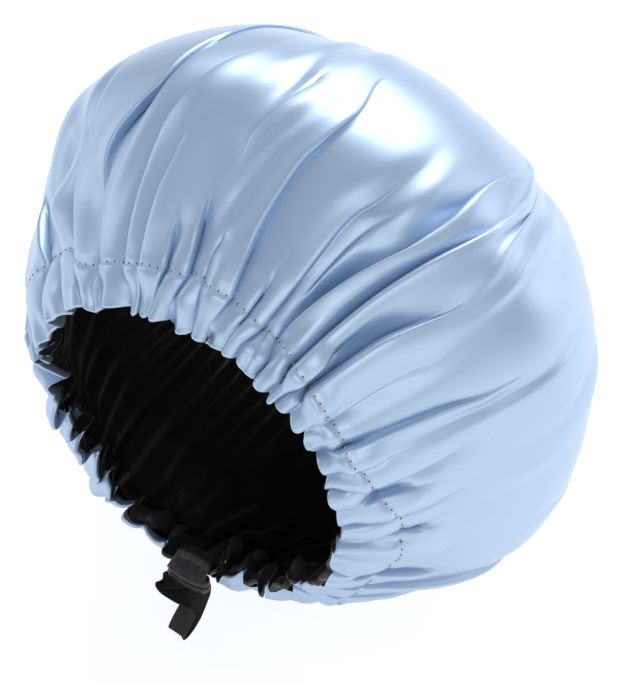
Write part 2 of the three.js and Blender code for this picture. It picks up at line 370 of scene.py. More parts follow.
# Soft hollows and swells that the front view shows between the folds
FRONT_DENTS = (
    Dent(90.0, 0.210, 0.022, 0.0030, 0.0022),
    Dent(84.5, 0.214, 0.030, 0.0100, 0.0026),
    Dent(68.8, 0.212, 0.024, 0.0048, 0.0036, slant=-0.03),
    Dent(62.0, 0.205, 0.018, 0.0050, 0.0036, slant=0.05),
    Dent(65.5, 0.229, 0.009, 0.0040, 0.0026),
    Dent(63.0, 0.252, 0.026, 0.0042, 0.0046),
    Dent(48.6, 0.266, 0.018, 0.0040, 0.0018),
    Dent(50.2, 0.170, 0.030, 0.0040, 0.0026, slant=-0.10),
    Dent(38.0, 0.262, 0.028, 0.0070, 0.0034),
    Dent(25.0, 0.238, 0.024, 0.0060, 0.0026),
    Dent(14.0, 0.262, 0.016, 0.0060, 0.0024),
    Dent(2.0, 0.268, 0.014, 0.0060, 0.0022),
    Dent(126.0, 0.226, 0.036, 0.0085, 0.0068, slant=-0.12),
    Dent(139.0, 0.234, 0.030, 0.0100, 0.0080),
    Dent(138.0, 0.262, 0.016, 0.0080, -0.0040),
    Dent(124.0, 0.262, 0.018, 0.0055, 0.0048),
    Dent(132.0, 0.212, 0.026, 0.0060, 0.0046, slant=-0.10),
)

# Where the line of stitches wanders from its ring, in degrees round the cap and metres towards the rim
STITCH_WANDER = (
    (-60.0, -0.003), (-16.0, -0.008), (3.0, -0.004), (10.0, 0.002), (15.0, 0.004), (26.0, 0.008),
    (36.0, 0.008), (46.0, 0.005), (60.0, 0.002), (85.0, -0.003), (97.0, -0.001), (113.0, 0.002),
    (124.0, 0.002), (134.0, -0.007), (145.0, -0.009), (175.0, -0.003), (215.0, 0.002), (255.0, -0.001),
)

# How far the shell is turned in round the rim, in degrees round the cap and metres past the edge
RIM_TURN_IN = (
    (-68.0, -0.0060), (-60.0, 0.0030), (-55.0, -0.0050), (-44.0, 0.0040), (-38.0, -0.0040),
    (-28.0, -0.0010), (-20.0, 0.0014), (-5.0, 0.0016), (60.0, 0.0016), (126.0, 0.0018), (144.0, 0.0090),
    (158.0, 0.0110), (167.0, 0.0016), (173.0, 0.0020), (179.0, 0.0080), (185.0, 0.0040),
    (191.0, 0.0130), (198.0, 0.0060), (203.0, 0.0130), (209.0, 0.0030), (214.0, 0.0110),
    (220.0, 0.0040), (226.0, 0.0070), (231.0, 0.0030), (237.0, 0.0120), (246.0, 0.0040),
    (252.0, 0.0080), (260.0, -0.0010), (276.0, -0.0050), (285.0, 0.0050),
)


@dataclass(frozen=True)
class Ruffles:
    """The lobes that the elastic draws the casing into, and where they differ."""

    mean_pitch: float = math.radians(7.4)
    pitch_spread: float = 0.62
    height: float = 0.0063
    height_spread: float = 0.50
    slit_spread: float = 0.70
    width_limits: tuple[float, float] = (0.5, 1.2)
    height_limit: float = 2.0
    roundness: tuple[float, float] = (0.45, 1.5)
    lean_spread: float = 0.45
    lean_at_stitches: float = 0.4
    jog: float = 0.0011
    jog_width: float = 0.0012
    jog_reach: float = 0.012
    fade: float = 0.026
    fade_spread: float = 0.6
    edge_drop: float = 0.0030
    drop_range: tuple[float, float] = (0.1, 1.8)
    stand_out: float = 0.5
    wild_stand_out: float = 0.1
    edge_wave: float = 0.0016
    edge_sway: float = 0.0030
    wild_angle: float = math.radians(198.0)
    wild_width: float = math.radians(46.0)
    wild_share: float = 1.0
    short_reach: tuple[float, float] = (0.018, 0.055)
    short_height: tuple[float, float] = (0.0014, 0.0026)
    nicks: int = 84
    nick_reach: float = 0.013
    nick_reach_range: tuple[float, float] = (0.5, 2.2)
    nick_depth: float = 0.0040
    nick_depth_range: tuple[float, float] = (0.4, 1.3)
    nick_slant: float = 0.25
    nick_near_turn: float = 0.16
    nick_steep_side: float = 0.0010
    nick_soft_side: float = 0.0045
    turn_in_jitter: float = 0.5
    turn_in_limits: tuple[float, float] = (-0.0080, 0.0140)
    seed: int = 41


@dataclass(frozen=True)
class Creases:
    """The ranges that the scattered hollows and swells of the dome are drawn from."""

    count: int = 90
    run: tuple[float, float] = (0.085, 0.262)
    half_length: tuple[float, float] = (0.014, 0.040)
    half_width: tuple[float, float] = (0.0030, 0.0085)
    depth: tuple[float, float] = (0.0006, 0.0019)
    hollow_share: float = 0.6
    slant: tuple[float, float] = (-0.16, 0.16)


@dataclass(frozen=True)
class Layer:
    """How one layer of the cloth lies against the outer face.

    Args:
        body_inset: depth inside the outer face over the dome.
        sewn_inset: depth along the stitch line.
        pocket_inset: depth in the middle of the casing, where the elastic runs.
        rim_inset: depth at the rim.
        keep: share of the pleats' height that the layer follows over the dome.
        bulge_share: how far the lobes' heads swell sideways, as a share of half their width.
        lean_share: how far the pleats' lips lean over, as a share of the shell's.
        inner: whether it is the layer inside the elastic.
    """

    body_inset: float = 0.0
    sewn_inset: float = 0.0
    pocket_inset: float = 0.0
    rim_inset: float = 0.0
    keep: float = 1.0
    bulge_share: float = 0.27
    lean_share: float = 1.0
    inner: bool = False


# Half the thickness of the rounded rim, where the shell turns in to meet the lining
ROLL_RADIUS = 0.0012
SHELL = Layer()
LINING = Layer(
    body_inset=0.0034,
    sewn_inset=0.0011,
    pocket_inset=0.0036,
    rim_inset=2 * ROLL_RADIUS,
    keep=0.92,
    bulge_share=0.17,
    lean_share=-0.3,
    inner=True,
)


def ring_table(rows: tuple[tuple[float, float], ...], column: np.ndarray) -> np.ndarray:
    """Reads a table of values round the cap, smoothly between its rows.

    Args:
        rows: the angles, in degrees, and the values there.
        column: where the table is read.

    Returns:
        The value at each column.
    """
    angle = np.radians([row[0] for row in rows])
    value = np.array([row[1] for row in rows])
    angle = np.concatenate([angle - math.tau, angle, angle + math.tau])
    value = np.tile(value, 3)
    order = np.argsort(angle)
    angle, value = angle[order], value[order]
    place = (column + math.pi / 2) % math.tau - math.pi / 2
    index = np.clip(np.searchsorted(angle, place, side="right") - 1, 0, len(angle) - 2)
    share = (place - angle[index]) / (angle[index + 1] - angle[index])
    return value[index] + (value[index + 1] - value[index]) * smooth_step(share)


@dataclass(frozen=True)
class Waves:
    """A sum of waves round the cap: whole numbers of waves, their phases and sizes."""

    rows: tuple[tuple[int, float, float], ...]

    @classmethod
    def scatter(cls, rng: np.random.Generator, first: int, last: int, count: int) -> "Waves":
        """Chooses waves at random.

        Args:
            rng: where the random draws come from.
            first: least number of waves round the cap.
            last: number that all of them stay below.
            count: how many waves are added up.

        Returns:
            The waves.
        """
        sizes = rng.uniform(*WAVE_SIZES, count)
        sizes *= WAVE_TOTAL / sizes.sum()
        return cls(
            tuple((int(rng.integers(first, last)), rng.uniform(0, math.tau), float(size)) for size in sizes)
        )

    def at(self, column: np.ndarray) -> np.ndarray:
        """The height of the waves at each column."""
        return sum(size * np.sin(waves * column + phase) for waves, phase, size in self.rows)


class Drape:
    """The gathered cloth of the cap: the smooth form with its ruffles, pleats and hollows."""

    # How the columns of the mesh crowd at the creases
    table_steps: int = 7201
    crowding: float = 3.0
    crowding_reach: float = 0.1
    least_crowding: float = 0.8
    crowding_turn: float = 0.015
    # The pleats: crest and hollow beside a crease, and how they widen and fade up the dome
    crease_round: float = 0.0005
    lip_rounds: float = 2.6
    overhang_share: float = 0.60
    lean_reach: float = 0.006
    keep_reach: float = 0.02
    crest_width: float = 0.0150
    hollow_share: float = 0.8
    hollow_width: float = 0.0090
    level_width: float = 0.030
    least_width_share: float = 0.35
    full_width_reach: float = 0.09
    widening_share: float = 0.035
    widening_step: float = 0.01
    pleat_depth: float = 1.45
    pleat_fade: float = 0.55
    late_start: float = 3.0
    casing_fade: float = 0.014
    near_turn: float = 0.9
    dent_reach: float = 2.4
    # The line of stitches and the casing below it
    stitch_pinch: float = 0.0008
    stitch_pinch_width: float = 0.0014
    wander_reach: float = 0.045
    casing_puff: float = 0.0012
    inset_reach: float = 0.03
    pocket_power: float = 0.8
    # Long waves over the dome and along the rim
    swell: float = 0.0010
    swell_twist: float = 20.0
    swell_start: float = 0.035
    swell_rise: float = 0.09
    swell_end: float = 0.05
    edge_wave_top: float = 0.03
    edge_wave_rise: float = 0.05
    # The lining's own loose folds: puffs in the casing and hanging folds over the dome
    puff_angle: float = math.radians(290.0)
    puff_width: float = math.radians(62.0)
    puff_depth: float = 0.0090
    puff_count: int = 28
    puff_floor: float = 0.35
    puff_sway: float = 1.1
    puff_twist: float = 2.0
    puff_power: float = 0.7
    puff_end: float = 1.08
    puff_curl: float = 0.35
    inner_depth: float = 0.0090
    inner_start: float = 0.012
    inner_reach: float = 0.190
    inner_end: float = 0.06
    inner_swing: float = 0.35
    inner_swing_run: float = 0.018
    inner_swing_turn: float = 0.05
    # The gap kept above the table, and the small steps that a direction is measured over
    table_gap: float = 1e-4
    face_turn: float = 1e-3
    face_run: float = 1e-4

    def __init__(self, form: BonnetForm, ruffles: Ruffles) -> None:
        """Places the lobes and pleats round the cap.

        Args:
            form: the smooth form of the cap.
            ruffles: how the elastic draws up the casing.
        """
        self.form = form
        self.ruffles = ruffles
        self.rim_run = form.rim_run
        self.stitch_run = form.stitch_run
        rng = np.random.default_rng(ruffles.seed)
        self.pleats = [*FRONT_PLEATS, *SIDE_PLEATS, *self._short_pleats(rng)]
        self.pleats.sort(key=lambda pleat: pleat.angle % 360.0)
        self.guides = [pleat for pleat in self.pleats if pleat.line]
        self._set_lobes(rng)
        self._set_nicks(rng)
        self._set_creases(rng)
        twist = self.swell_twist
        self.swells = [
            (Waves.scatter(rng, first=3, last=9, count=3), rng.uniform(-twist, twist)) for _ in range(3)
        ]
        self.edge_waves = Waves.scatter(rng, first=4, last=19, count=7)
        self.edge_sways = Waves.scatter(rng, first=5, last=23, count=8)
        self.turn_in_waves = Waves.scatter(rng, first=19, last=61, count=9)
        self.inner_waves = Waves.scatter(rng, first=38, last=66, count=5)
        self.inner_sways = Waves.scatter(rng, first=5, last=17, count=5)
        self._set_columns()

    def _short_pleats(self, rng: np.random.Generator) -> list[Pleat]:
        """Short folds between the long ones of the sides, at uneven steps, with none at the exit.

        Args:
            rng: where the random draws come from.

        Returns:
            The folds.
        """
        first = max(pleat.angle for pleat in FRONT_PLEATS)
        last = min(pleat.angle for pleat in FRONT_PLEATS) + 360.0
        stops = [first, *(pleat.angle for pleat in SIDE_PLEATS), last]
        pitch = math.degrees(self.ruffles.mean_pitch)
        spread = self.ruffles.pitch_spread / 2
        reaches, heights = self.ruffles.short_reach, self.ruffles.short_height
        made = []
        for start, end in zip(stops[:-1], stops[1:]):
            count = max(1, round((end - start) / pitch) - 1)
            steps = rng.uniform(1.0 - spread, 1.0 + spread, count + 1)
            for angle in start + (end - start) * np.cumsum(steps)[:-1] / steps.sum():
                reach, height = rng.uniform(*reaches), rng.uniform(*heights)
                side = 1 if rng.random() < 0.5 else -1
                made.append(Pleat(float(angle), reach, height, side))
        return made

    def _set_lobes(self, rng: np.random.Generator) -> None:
        """Each lobe lies between two neighbouring pleats that start at the stitch line.

        Args:
            rng: where the random draws come from.
        """
        starts = sorted(pleat.turn % math.tau for pleat in self.pleats if pleat.start == 0.0)
        self.lobe_edges = np.array([*starts, starts[0] + math.tau])
        count = len(starts)
        ruffles = self.ruffles
        widths = np.diff(self.lobe_edges) / ruffles.mean_pitch
        middles = (self.lobe_edges[1:] + self.lobe_edges[:-1]) / 2
        away = turned(middles, ruffles.wild_angle) / ruffles.wild_width
        wild = 1.0 + ruffles.wild_share * np.exp(-(away**2))
        vary = rng.uniform(1.0 - ruffles.height_spread, 1.0 + ruffles.height_spread, count)
        full = vary * wild * np.clip(widths, *ruffles.width_limits)
        self.lobe_heights = ruffles.height * np.minimum(full, ruffles.height_limit)
        self.lobe_leans = rng.uniform(-ruffles.lean_spread, ruffles.lean_spread, count) * wild
        self.lobe_drops = ruffles.edge_drop * rng.uniform(*ruffles.drop_range, count) * wild
        drawn_in = ruffles.stand_out - ruffles.wild_stand_out
        self.lobe_outs = ruffles.stand_out - drawn_in * (wild - 1.0) / ruffles.wild_share
        fades = rng.uniform(1.0 - ruffles.fade_spread, 1.0 + ruffles.fade_spread, count)
        self.lobe_fades = ruffles.fade * fades
        self.lobe_powers = rng.uniform(*ruffles.roundness, count)
        self.lobe_jogs = ruffles.jog * rng.uniform(-1.0, 1.0, count)
        slits = 1.0 - ruffles.slit_spread * rng.random(count)
        self.slit_shares = np.append(slits, slits[0])

    def _set_nicks(self, rng: np.random.Generator) -> None:
        """Short folds that run up from the rim within the casing.

        Args:
            rng: where the random draws come from.
        """
        ruffles = self.ruffles
        self.nicks = [
            (
                rng.uniform(0.0, math.tau),
                ruffles.nick_reach * rng.uniform(*ruffles.nick_reach_range),
                ruffles.nick_depth * rng.uniform(*ruffles.nick_depth_range),
                1 if rng.random() < 0.5 else -1,
                rng.uniform(-ruffles.nick_slant, ruffles.nick_slant),
            )
            for _ in range(ruffles.nicks)
        ]

    def _set_creases(self, rng: np.random.Generator) -> None:
        """Long soft hollows and swells over the whole dome, and the ones that the front view shows.

        Args:
            rng: where the random draws come from.
        """
        creases = Creases()
        scattered = [
            Dent(
                angle=rng.uniform(0.0, 360.0),
                run=rng.uniform(*creases.run),
                half_length=rng.uniform(*creases.half_length),
                half_width=rng.uniform(*creases.half_width),
                depth=rng.uniform(*creases.depth) * (1 if rng.random() < creases.hollow_share else -1),
                slant=rng.uniform(*creases.slant),
            )
            for _ in range(creases.count)
        ]
        self.dents = [*FRONT_DENTS, *scattered]

    def _set_columns(self) -> None:
        """Columns of the mesh stand closer beside each crease, where the cloth turns sharply."""
        even = np.linspace(0.0, math.tau, self.table_steps)
        density = np.ones_like(even)
        for pleat in self.pleats:
            share = min(1.0, pleat.reach / self.crowding_reach) * self.crowding + self.least_crowding
            density += share * np.exp(-((turned(even, pleat.turn) / self.crowding_turn) ** 2))
        total = np.concatenate([[0.0], np.cumsum((density[1:] + density[:-1]) / 2)])
        self.column_table = (total / total[-1] * math.tau, even)

    def column(self, turn: np.ndarray) -> np.ndarray:
        """The column that lies at a turn of the flat disc."""
        return np.interp(turn % math.tau, *self.column_table)

    def above(self, run: np.ndarray) -> np.ndarray:
        """Distance up from the stitch line, negative in the casing."""
        return self.stitch_run - run

    def casing_share(self, rise: np.ndarray) -> np.ndarray:
        """Share of the way down the casing, from its stitches to the rim."""
        return np.clip(-rise / self.form.casing_width, 0.0, 1.0)

    def turn_in(self, column: np.ndarray) -> np.ndarray:
        """How far past the rim's edge the seam between the two layers lies."""
        jitter = self.ruffles.turn_in_jitter * self.turn_in_waves.at(column)
        return np.clip(ring_table(RIM_TURN_IN, column) * (1.0 + jitter), *self.ruffles.turn_in_limits)

    def drift(self, column: np.ndarray, run: np.ndarray) -> np.ndarray:
        """How far the folds have turned round the cap at a run.

        Args:
            column: angle of the cloth at the stitch line.
            run: length of cloth from the crown.

        Returns:
            The turn in radians.
        """
        rise = self.above(run)
        total = np.zeros_like(run)
        for index, guide in enumerate(self.guides):
            before, after = self.guides[index - 1], self.guides[(index + 1) % len(self.guides)]
            away = turned(column, guide.turn)
            left = (guide.turn - before.turn) % math.tau
            right = (after.turn - guide.turn) % math.tau
            weight = smooth_step(1.0 - np.where(away < 0.0, -away / left, away / right))
            near = np.nonzero(weight > 0.0)[0]
            total[near] += weight[near] * guide.drift(rise[near])
        return total

    def round_the_rim(self, run: np.ndarray, layer: Layer) -> tuple[np.ndarray, np.ndarray]:
        """Where a run lies on the way round the rim.

        Args:
            run: length of cloth from the crown; past the rim it goes round the edge.
            layer: which layer of the cloth.

        Returns:
            The run of the same place on the smooth form, and the angle that the cloth has turned in by.
        """
        past = run - self.rim_run
        half = math.pi * ROLL_RADIUS
        way = np.clip(past / ROLL_RADIUS, 0.0, math.pi)
        flat_run = np.minimum(run, self.rim_run) - np.maximum(past - half, 0.0)
        return flat_run, math.pi - way if layer.inner else way

    def relief(self, column: np.ndarray, run: np.ndarray, layer: Layer) -> tuple[np.ndarray, ...]:
        """How far the cloth stands out from the smooth form.

        Args:
            column: angle of the cloth at the stitch line.
            run: length of cloth from the crown.
            layer: which layer of the cloth.

        Returns:
            The shift outwards, round the cap, and down towards the rim.
        """
        flat_run, over = self.round_the_rim(run, layer)
        rise = self.above(flat_run)
        radius = self.form.radius_at(flat_run)
        shift = np.zeros((3, len(run)))
        bulge = layer.bulge_share + (LINING.bulge_share - layer.bulge_share) * over / math.pi
        self._add_lobes(column, rise, radius, bulge, shift)
        self._add_nicks(column, flat_run, radius, shift)
        keep = 1.0 - (1.0 - layer.keep) * smooth_step(rise / self.keep_reach)
        lean = 1.0 - (1.0 - layer.lean_share) * smooth_step(rise / self.lean_reach)
        self._add_pleats(column, rise, radius, keep, lean, shift)
        self._add_dents(column, flat_run, radius, shift)
        self._add_waves(column, flat_run, rise, shift)
        shift[0] -= self.stitch_pinch * np.exp(-((rise / self.stitch_pinch_width) ** 2))
        if layer.inner:
            self._add_inner_folds(column, rise, shift)
        casing = self.casing_share(rise)
        shift[0] += self.casing_puff * np.sin(math.pi * casing)
        turned_over = self._inset(rise, layer if layer.inner else LINING)
        rolled = ROLL_RADIUS * (1.0 - np.cos(over))
        outer = np.zeros_like(rise) if layer.inner else self._inset(rise, layer)
        shift[0] -= np.where(over >= math.pi - 1e-6, turned_over, np.where(over > 0.0, rolled, outer))
        shift[2] += ROLL_RADIUS * np.sin(over)
        return shift[0], shift[1], shift[2]

    def _inset(self, rise: np.ndarray, layer: Layer) -> np.ndarray:
        """Depth of a layer inside the outer face.

        Args:
            rise: distance up from the stitch line, negative in the casing.
            layer: which layer of the cloth.

        Returns:
            The depth at each place.
        """
        casing = self.casing_share(rise)
        deeper = (layer.body_inset - layer.sewn_inset) * smooth_step(rise / self.inset_reach)
        down = layer.sewn_inset * (1.0 - casing) + layer.rim_inset * casing
        pocket = layer.pocket_inset * np.sin(math.pi * casing) ** self.pocket_power
        return np.where(rise > 0.0, layer.sewn_inset + deeper, down + pocket)

    def _add_lobes(
        self, column: np.ndarray, rise: np.ndarray, radius: np.ndarray, bulge: np.ndarray, shift: np.ndarray
    ) -> None:
        """Lobes of unlike heights and roundness with slits between them, fading out above the stitches.

        Args:
            column: angle of the cloth at the stitch line.
            rise: distance up from the stitch line, negative in the casing.
            radius: radius of the smooth form there.
            bulge: how far the lobes' heads swell sideways there.
            shift: the shift outwards, round the cap and down, which is added to.
        """
        edges = self.lobe_edges
        wrapped = (column - edges[0]) % math.tau + edges[0]
        index = np.clip(np.searchsorted(edges, wrapped, side="right") - 1, 0, len(self.lobe_heights) - 1)
        width = edges[index + 1] - edges[index]
        share = (wrapped - edges[index]) / width
        across = 2.0 * share - 1.0
        amount = smooth_step(1.0 - rise / self.lobe_fades[index])
        tall = self.lobe_heights[index]
        bump = np.cos(across * math.pi / 2) ** self.lobe_powers[index]
        slit = self.slit_shares[index] * (1.0 - share) + self.slit_shares[index + 1] * share
        casing = self.casing_share(rise)
        shift[0] += amount * tall * slit * (bump - 1.0 + self.lobe_outs[index])
        shift[1] += amount * bulge * slit * (width * radius / 2) * np.sin(math.pi * across)
        least = self.ruffles.lean_at_stitches
        shift[1] += amount * self.lobe_leans[index] * tall * bump * (least + (1.0 - least) * casing)
        shift[2] += casing**2 * self.lobe_drops[index] * (bump - 0.5)
        edge = np.minimum(share, 1.0 - share) * width * radius
        near_stitch = np.exp(-((rise / self.ruffles.jog_reach) ** 2))
        shift[2] += near_stitch * self.lobe_jogs[index] * smooth_step(edge / self.ruffles.jog_width)

    def _add_nicks(
        self, column: np.ndarray, run: np.ndarray, radius: np.ndarray, shift: np.ndarray
    ) -> None:
        """Small creases within the casing's lobes.

        Args:
            column: angle of the cloth at the stitch line.
            run: length of cloth from the crown.
            radius: radius of the smooth form there.
            shift: the shift outwards, round the cap and down, which is added to.
        """
        ruffles = self.ruffles
        up = self.rim_run - run
        for angle, reach, depth, side, slant in self.nicks:
            near = np.nonzero((np.abs(turned(column, angle)) < ruffles.nick_near_turn) & (up < reach))[0]
            across = side * (turned(column[near], angle) * radius[near] + slant * up[near])
            strength = smooth_step(1.0 - up[near] / reach)
            steep, soft = np.exp(-across / ruffles.nick_steep_side), np.exp(across / ruffles.nick_soft_side)
            shift[0, near] -= strength * depth * np.where(across > 0, steep, soft)

    def _add_pleats(
        self,
        column: np.ndarray,
        rise: np.ndarray,
        radius: np.ndarray,
        keep: np.ndarray,
        lean: np.ndarray,
        shift: np.ndarray,
    ) -> None:
        """Each pleat: a broad panel that ends in a crest over a crease, with a hollow beneath it.

        Args:
            column: angle of the cloth at the stitch line.
            rise: distance up from the stitch line, negative in the casing.
            radius: radius of the smooth form there.
            keep: share of the pleats' height that the layer follows there.
            lean: share of the lips' lean that it follows.
            shift: the shift outwards, round the cap and down, which is added to.
        """
        for pleat in self.pleats:
            near = np.nonzero(np.abs(turned(column, pleat.turn)) < self.near_turn)[0]
            share = (rise[near] - pleat.start) / (pleat.reach - pleat.start)
            fade_up = smooth_step((1.0 - share) / self.pleat_fade)
            if pleat.start > 0.0:
                strength = smooth_step(share * self.late_start) * fade_up
            else:
                strength = np.where(share > 0, fade_up, smooth_step(1.0 + rise[near] / self.casing_fade))
            strength *= keep[near] * self.pleat_depth * pleat.share(rise[near])
            across = pleat.side * turned(column[near], pleat.turn) * radius[near]
            widen = 1.0 + self.widening_share * np.maximum(rise[near], 0.0) / self.widening_step
            short = min(1.0, self.least_width_share + pleat.reach / self.full_width_reach)
            crest_width, hollow_width = self.crest_width * short, self.hollow_width * short
            crest = pleat.height * np.exp(-np.maximum(across, 0.0) / (crest_width * widen))
            fall = np.exp(np.minimum(across, 0.0) / (hollow_width * widen))
            hollow = self.hollow_share * pleat.height * fall
            blend = 0.5 + 0.5 * np.tanh(across / self.crease_round)
            crest_surplus = crest_width - self.hollow_share * hollow_width
            balance = crest_surplus / (math.sqrt(math.pi) * self.level_width)
            level = balance * pleat.height * np.exp(-((across / (self.level_width * widen)) ** 2))
            shift[0, near] += strength * (crest * blend - hollow * (1.0 - blend) - level)
            over = np.exp(-(((across - self.crease_round) / (self.lip_rounds * self.crease_round)) ** 2))
            shift[1, near] -= strength * lean[near] * pleat.side * self.overhang_share * pleat.height * over

    def _add_dents(
        self, column: np.ndarray, run: np.ndarray, radius: np.ndarray, shift: np.ndarray
    ) -> None:
        """Soft hollows and swells between the folds.

        Args:
            column: angle of the cloth at the stitch line.
            run: length of cloth from the crown.
            radius: radius of the smooth form there.
            shift: the shift outwards, round the cap and down, which is added to.
        """
        for dent in self.dents:
            along = (run - dent.run) / dent.half_length
            near = np.nonzero(np.abs(along) < self.dent_reach)[0]
            across = turned(column[near], math.radians(dent.angle)) * radius[near]
            across += dent.slant * (run[near] - dent.run)
            shift[0, near] -= dent.depth * np.exp(-(along[near] ** 2) - (across / dent.half_width) ** 2)

    def _add_inner_folds(self, column: np.ndarray, rise: np.ndarray, shift: np.ndarray) -> None:
        """Loose folds of the lining, which hang away from the shell into the cap.

        Args:
            column: angle of the cloth at the stitch line.
            rise: distance up from the stitch line, negative in the casing.
            shift: the shift outwards, round the cap and down, which is added to.
        """
        casing = self.casing_share(rise)
        near_exit = np.exp(-((turned(column, self.puff_angle) / self.puff_width) ** 2))
        depth = self.puff_floor + (1.0 - self.puff_floor) * near_exit
        sway = self.puff_sway * self.inner_sways.at(column)
        wave = self.puff_count / 2 * column + sway + self.puff_twist * casing
        puff = np.abs(np.sin(wave)) ** self.puff_power
        swelling = np.sin(math.pi * np.minimum(casing * self.puff_end, 1.0)) ** self.puff_power
        shift[0] -= self.puff_depth * depth * puff * swelling
        shift[1] += self.puff_curl * self.puff_depth * depth * np.sin(2 * wave) * np.sin(math.pi * casing)
        swing = self.inner_swing * self.inner_sways.at(column) * np.sin(rise / self.inner_swing_run)
        fold = 0.5 + 0.5 * np.clip(self.inner_waves.at(column + self.inner_swing_turn * swing), -1.0, 1.0)
        below_top = smooth_step((self.inner_reach - rise) / self.inner_end)
        shift[0] -= self.inner_depth * (smooth_step(rise / self.inner_start) * below_top) * fold

    def _add_waves(self, column: np.ndarray, run: np.ndarray, rise: np.ndarray, shift: np.ndarray) -> None:
        """Long waves over the dome, and the wandering of the stitches and the rim.

        Args:
            column: angle of the cloth at the stitch line.
            run: length of cloth from the crown.
            rise: distance up from the stitch line, negative in the casing.
            shift: the shift outwards, round the cap and down, which is added to.
        """
        fade = smooth_step((run - self.swell_start) / self.swell_rise) * smooth_step(rise / self.swell_end)
        for waves, twist in self.swells:
            shift[0] += self.swell * fade * waves.at(column + twist * run / self.swell_twist)
        casing = self.casing_share(rise)
        window = np.where(rise > 0.0, np.exp(-((rise / self.wander_reach) ** 2)), 1.0 - smooth_step(casing))
        shift[2] += ring_table(STITCH_WANDER, column) * window
        down = smooth_step((self.edge_wave_top - rise) / self.edge_wave_rise)
        shift[2] += self.ruffles.edge_wave * down * self.edge_waves.at(column)
        shift[1] += self.ruffles.edge_sway * casing * self.edge_sways.at(column)

    def cloth(self, column: np.ndarray, run: np.ndarray, layer: Layer = SHELL) -> np.ndarray:
        """Places of a layer of the cloth.

        Args:
            column: angle of the cloth at the stitch line.
            run: length of cloth from the crown; past the rim the cloth goes round the edge.
            layer: which layer of the cloth.

        Returns:
            One row of x, y and z for each point, none of them below the table.
        """
        flat_run = self.round_the_rim(run, layer)[0]
        angle = column + self.drift(column, flat_run)
        place, outward, around, down = self.form.frame(angle, flat_run)
        height, sway, drop = self.relief(column, run, layer)
        made = place + outward * height[:, None] + around * sway[:, None] + down * drop[:, None]
        made[:, 2] = np.maximum(made[:, 2], self.table_gap + layer.body_inset)
        return made

    def face(self, column: np.ndarray, run: np.ndarray, layer: Layer = SHELL) -> np.ndarray:
        """The outward direction of the gathered cloth.

        Args:
            column: angle of the cloth at the stitch line.
            run: length of cloth from the crown.
            layer: which layer of the cloth.

        Returns:
            One row of x, y and z for each point, at length one.
        """
        turn, step = self.face_turn, self.face_run
        beside = self.cloth(column + turn, run, layer) - self.cloth(column - turn, run, layer)
        downward = self.cloth(column, run + step, layer) - self.cloth(column, run - step, layer)
        return unit(np.cross(beside, downward))


@dataclass(frozen=True)
class DiscMesh:
    """A flat disc of cloth as rings and columns, before it is gathered."""

    columns: int = 720
    crown_share: float = 0.5
    crown_rings: int = 38
    dome_rings: int = 52
    casing_rings: int = 20
    roll_rings: int = 12
    trim_reach: float = 0.016
    least_turn_in: float = 1e-5

    def runs(self, drape: Drape) -> np.ndarray:
        """The run of each ring, closer where the cloth is more folded, and on round the rim.

        Args:
            drape: the gathered cloth.

        Returns:
            The runs from the crown outwards.
        """
        fold_run = drape.stitch_run * self.crown_share
        return np.concatenate(
            [
                np.linspace(0.0, fold_run, self.crown_rings, endpoint=False),
                np.linspace(fold_run, drape.stitch_run, self.dome_rings, endpoint=False),
                np.linspace(drape.stitch_run, drape.rim_run, self.casing_rings, endpoint=False),
                np.linspace(drape.rim_run, drape.rim_run + math.pi * ROLL_RADIUS, self.roll_rings),
            ]
        )

    def trimmed(self, drape: Drape, column: np.ndarray, run: np.ndarray, layer: Layer) -> np.ndarray:
        """Moves the last rings so that both layers end where their seam lies.

        Args:
            drape: the gathered cloth.
            column: angle of the cloth at the stitch line.
            run: the run of each point's ring.
            layer: which layer of the cloth.

        Returns:
            The run of each point after the move.
        """
        half = math.pi * ROLL_RADIUS
        turn_in = drape.turn_in(column)
        end = half - turn_in if layer.inner else turn_in
        past = np.maximum(run - drape.rim_run, 0.0)
        held = np.minimum(run, drape.rim_run)
        near_rim = smooth_step((held - drape.rim_run + self.trim_reach) / self.trim_reach)
        return held - np.maximum(-end, 0.0) * near_rim + past / half * np.maximum(end, self.least_turn_in)


def points_of(mesh: bpy.types.Mesh) -> np.ndarray:
    """The places of a mesh's vertices.

    Args:
        mesh: the mesh.

    Returns:
        One row of x, y and z for each.
    """
    places = np.zeros(len(mesh.vertices) * 3)
    mesh.vertices.foreach_get("co", places)
    return places.reshape(-1, 3)


def set_points(mesh: bpy.types.Mesh, places: np.ndarray) -> None:
    """Moves a mesh's vertices."""
    mesh.vertices.foreach_set("co", places.astype(np.float32).ravel())
    mesh.update()


def new_object(name: str, mesh: bpy.types.Mesh, material: bpy.types.Material) -> bpy.types.Object:
    """Puts a mesh into the scene as a smooth-shaded object with one material.

    Args:
        name: name of the piece.
        mesh: its shape.
        material: its finish.

    Returns:
        The new object.
    """
    piece = bpy.data.objects.new(name, mesh)
    bpy.context.scene.collection.objects.link(piece)
    mesh.materials.append(material)
    mesh.polygons.foreach_set("use_smooth", [True] * len(mesh.polygons))
    return piece


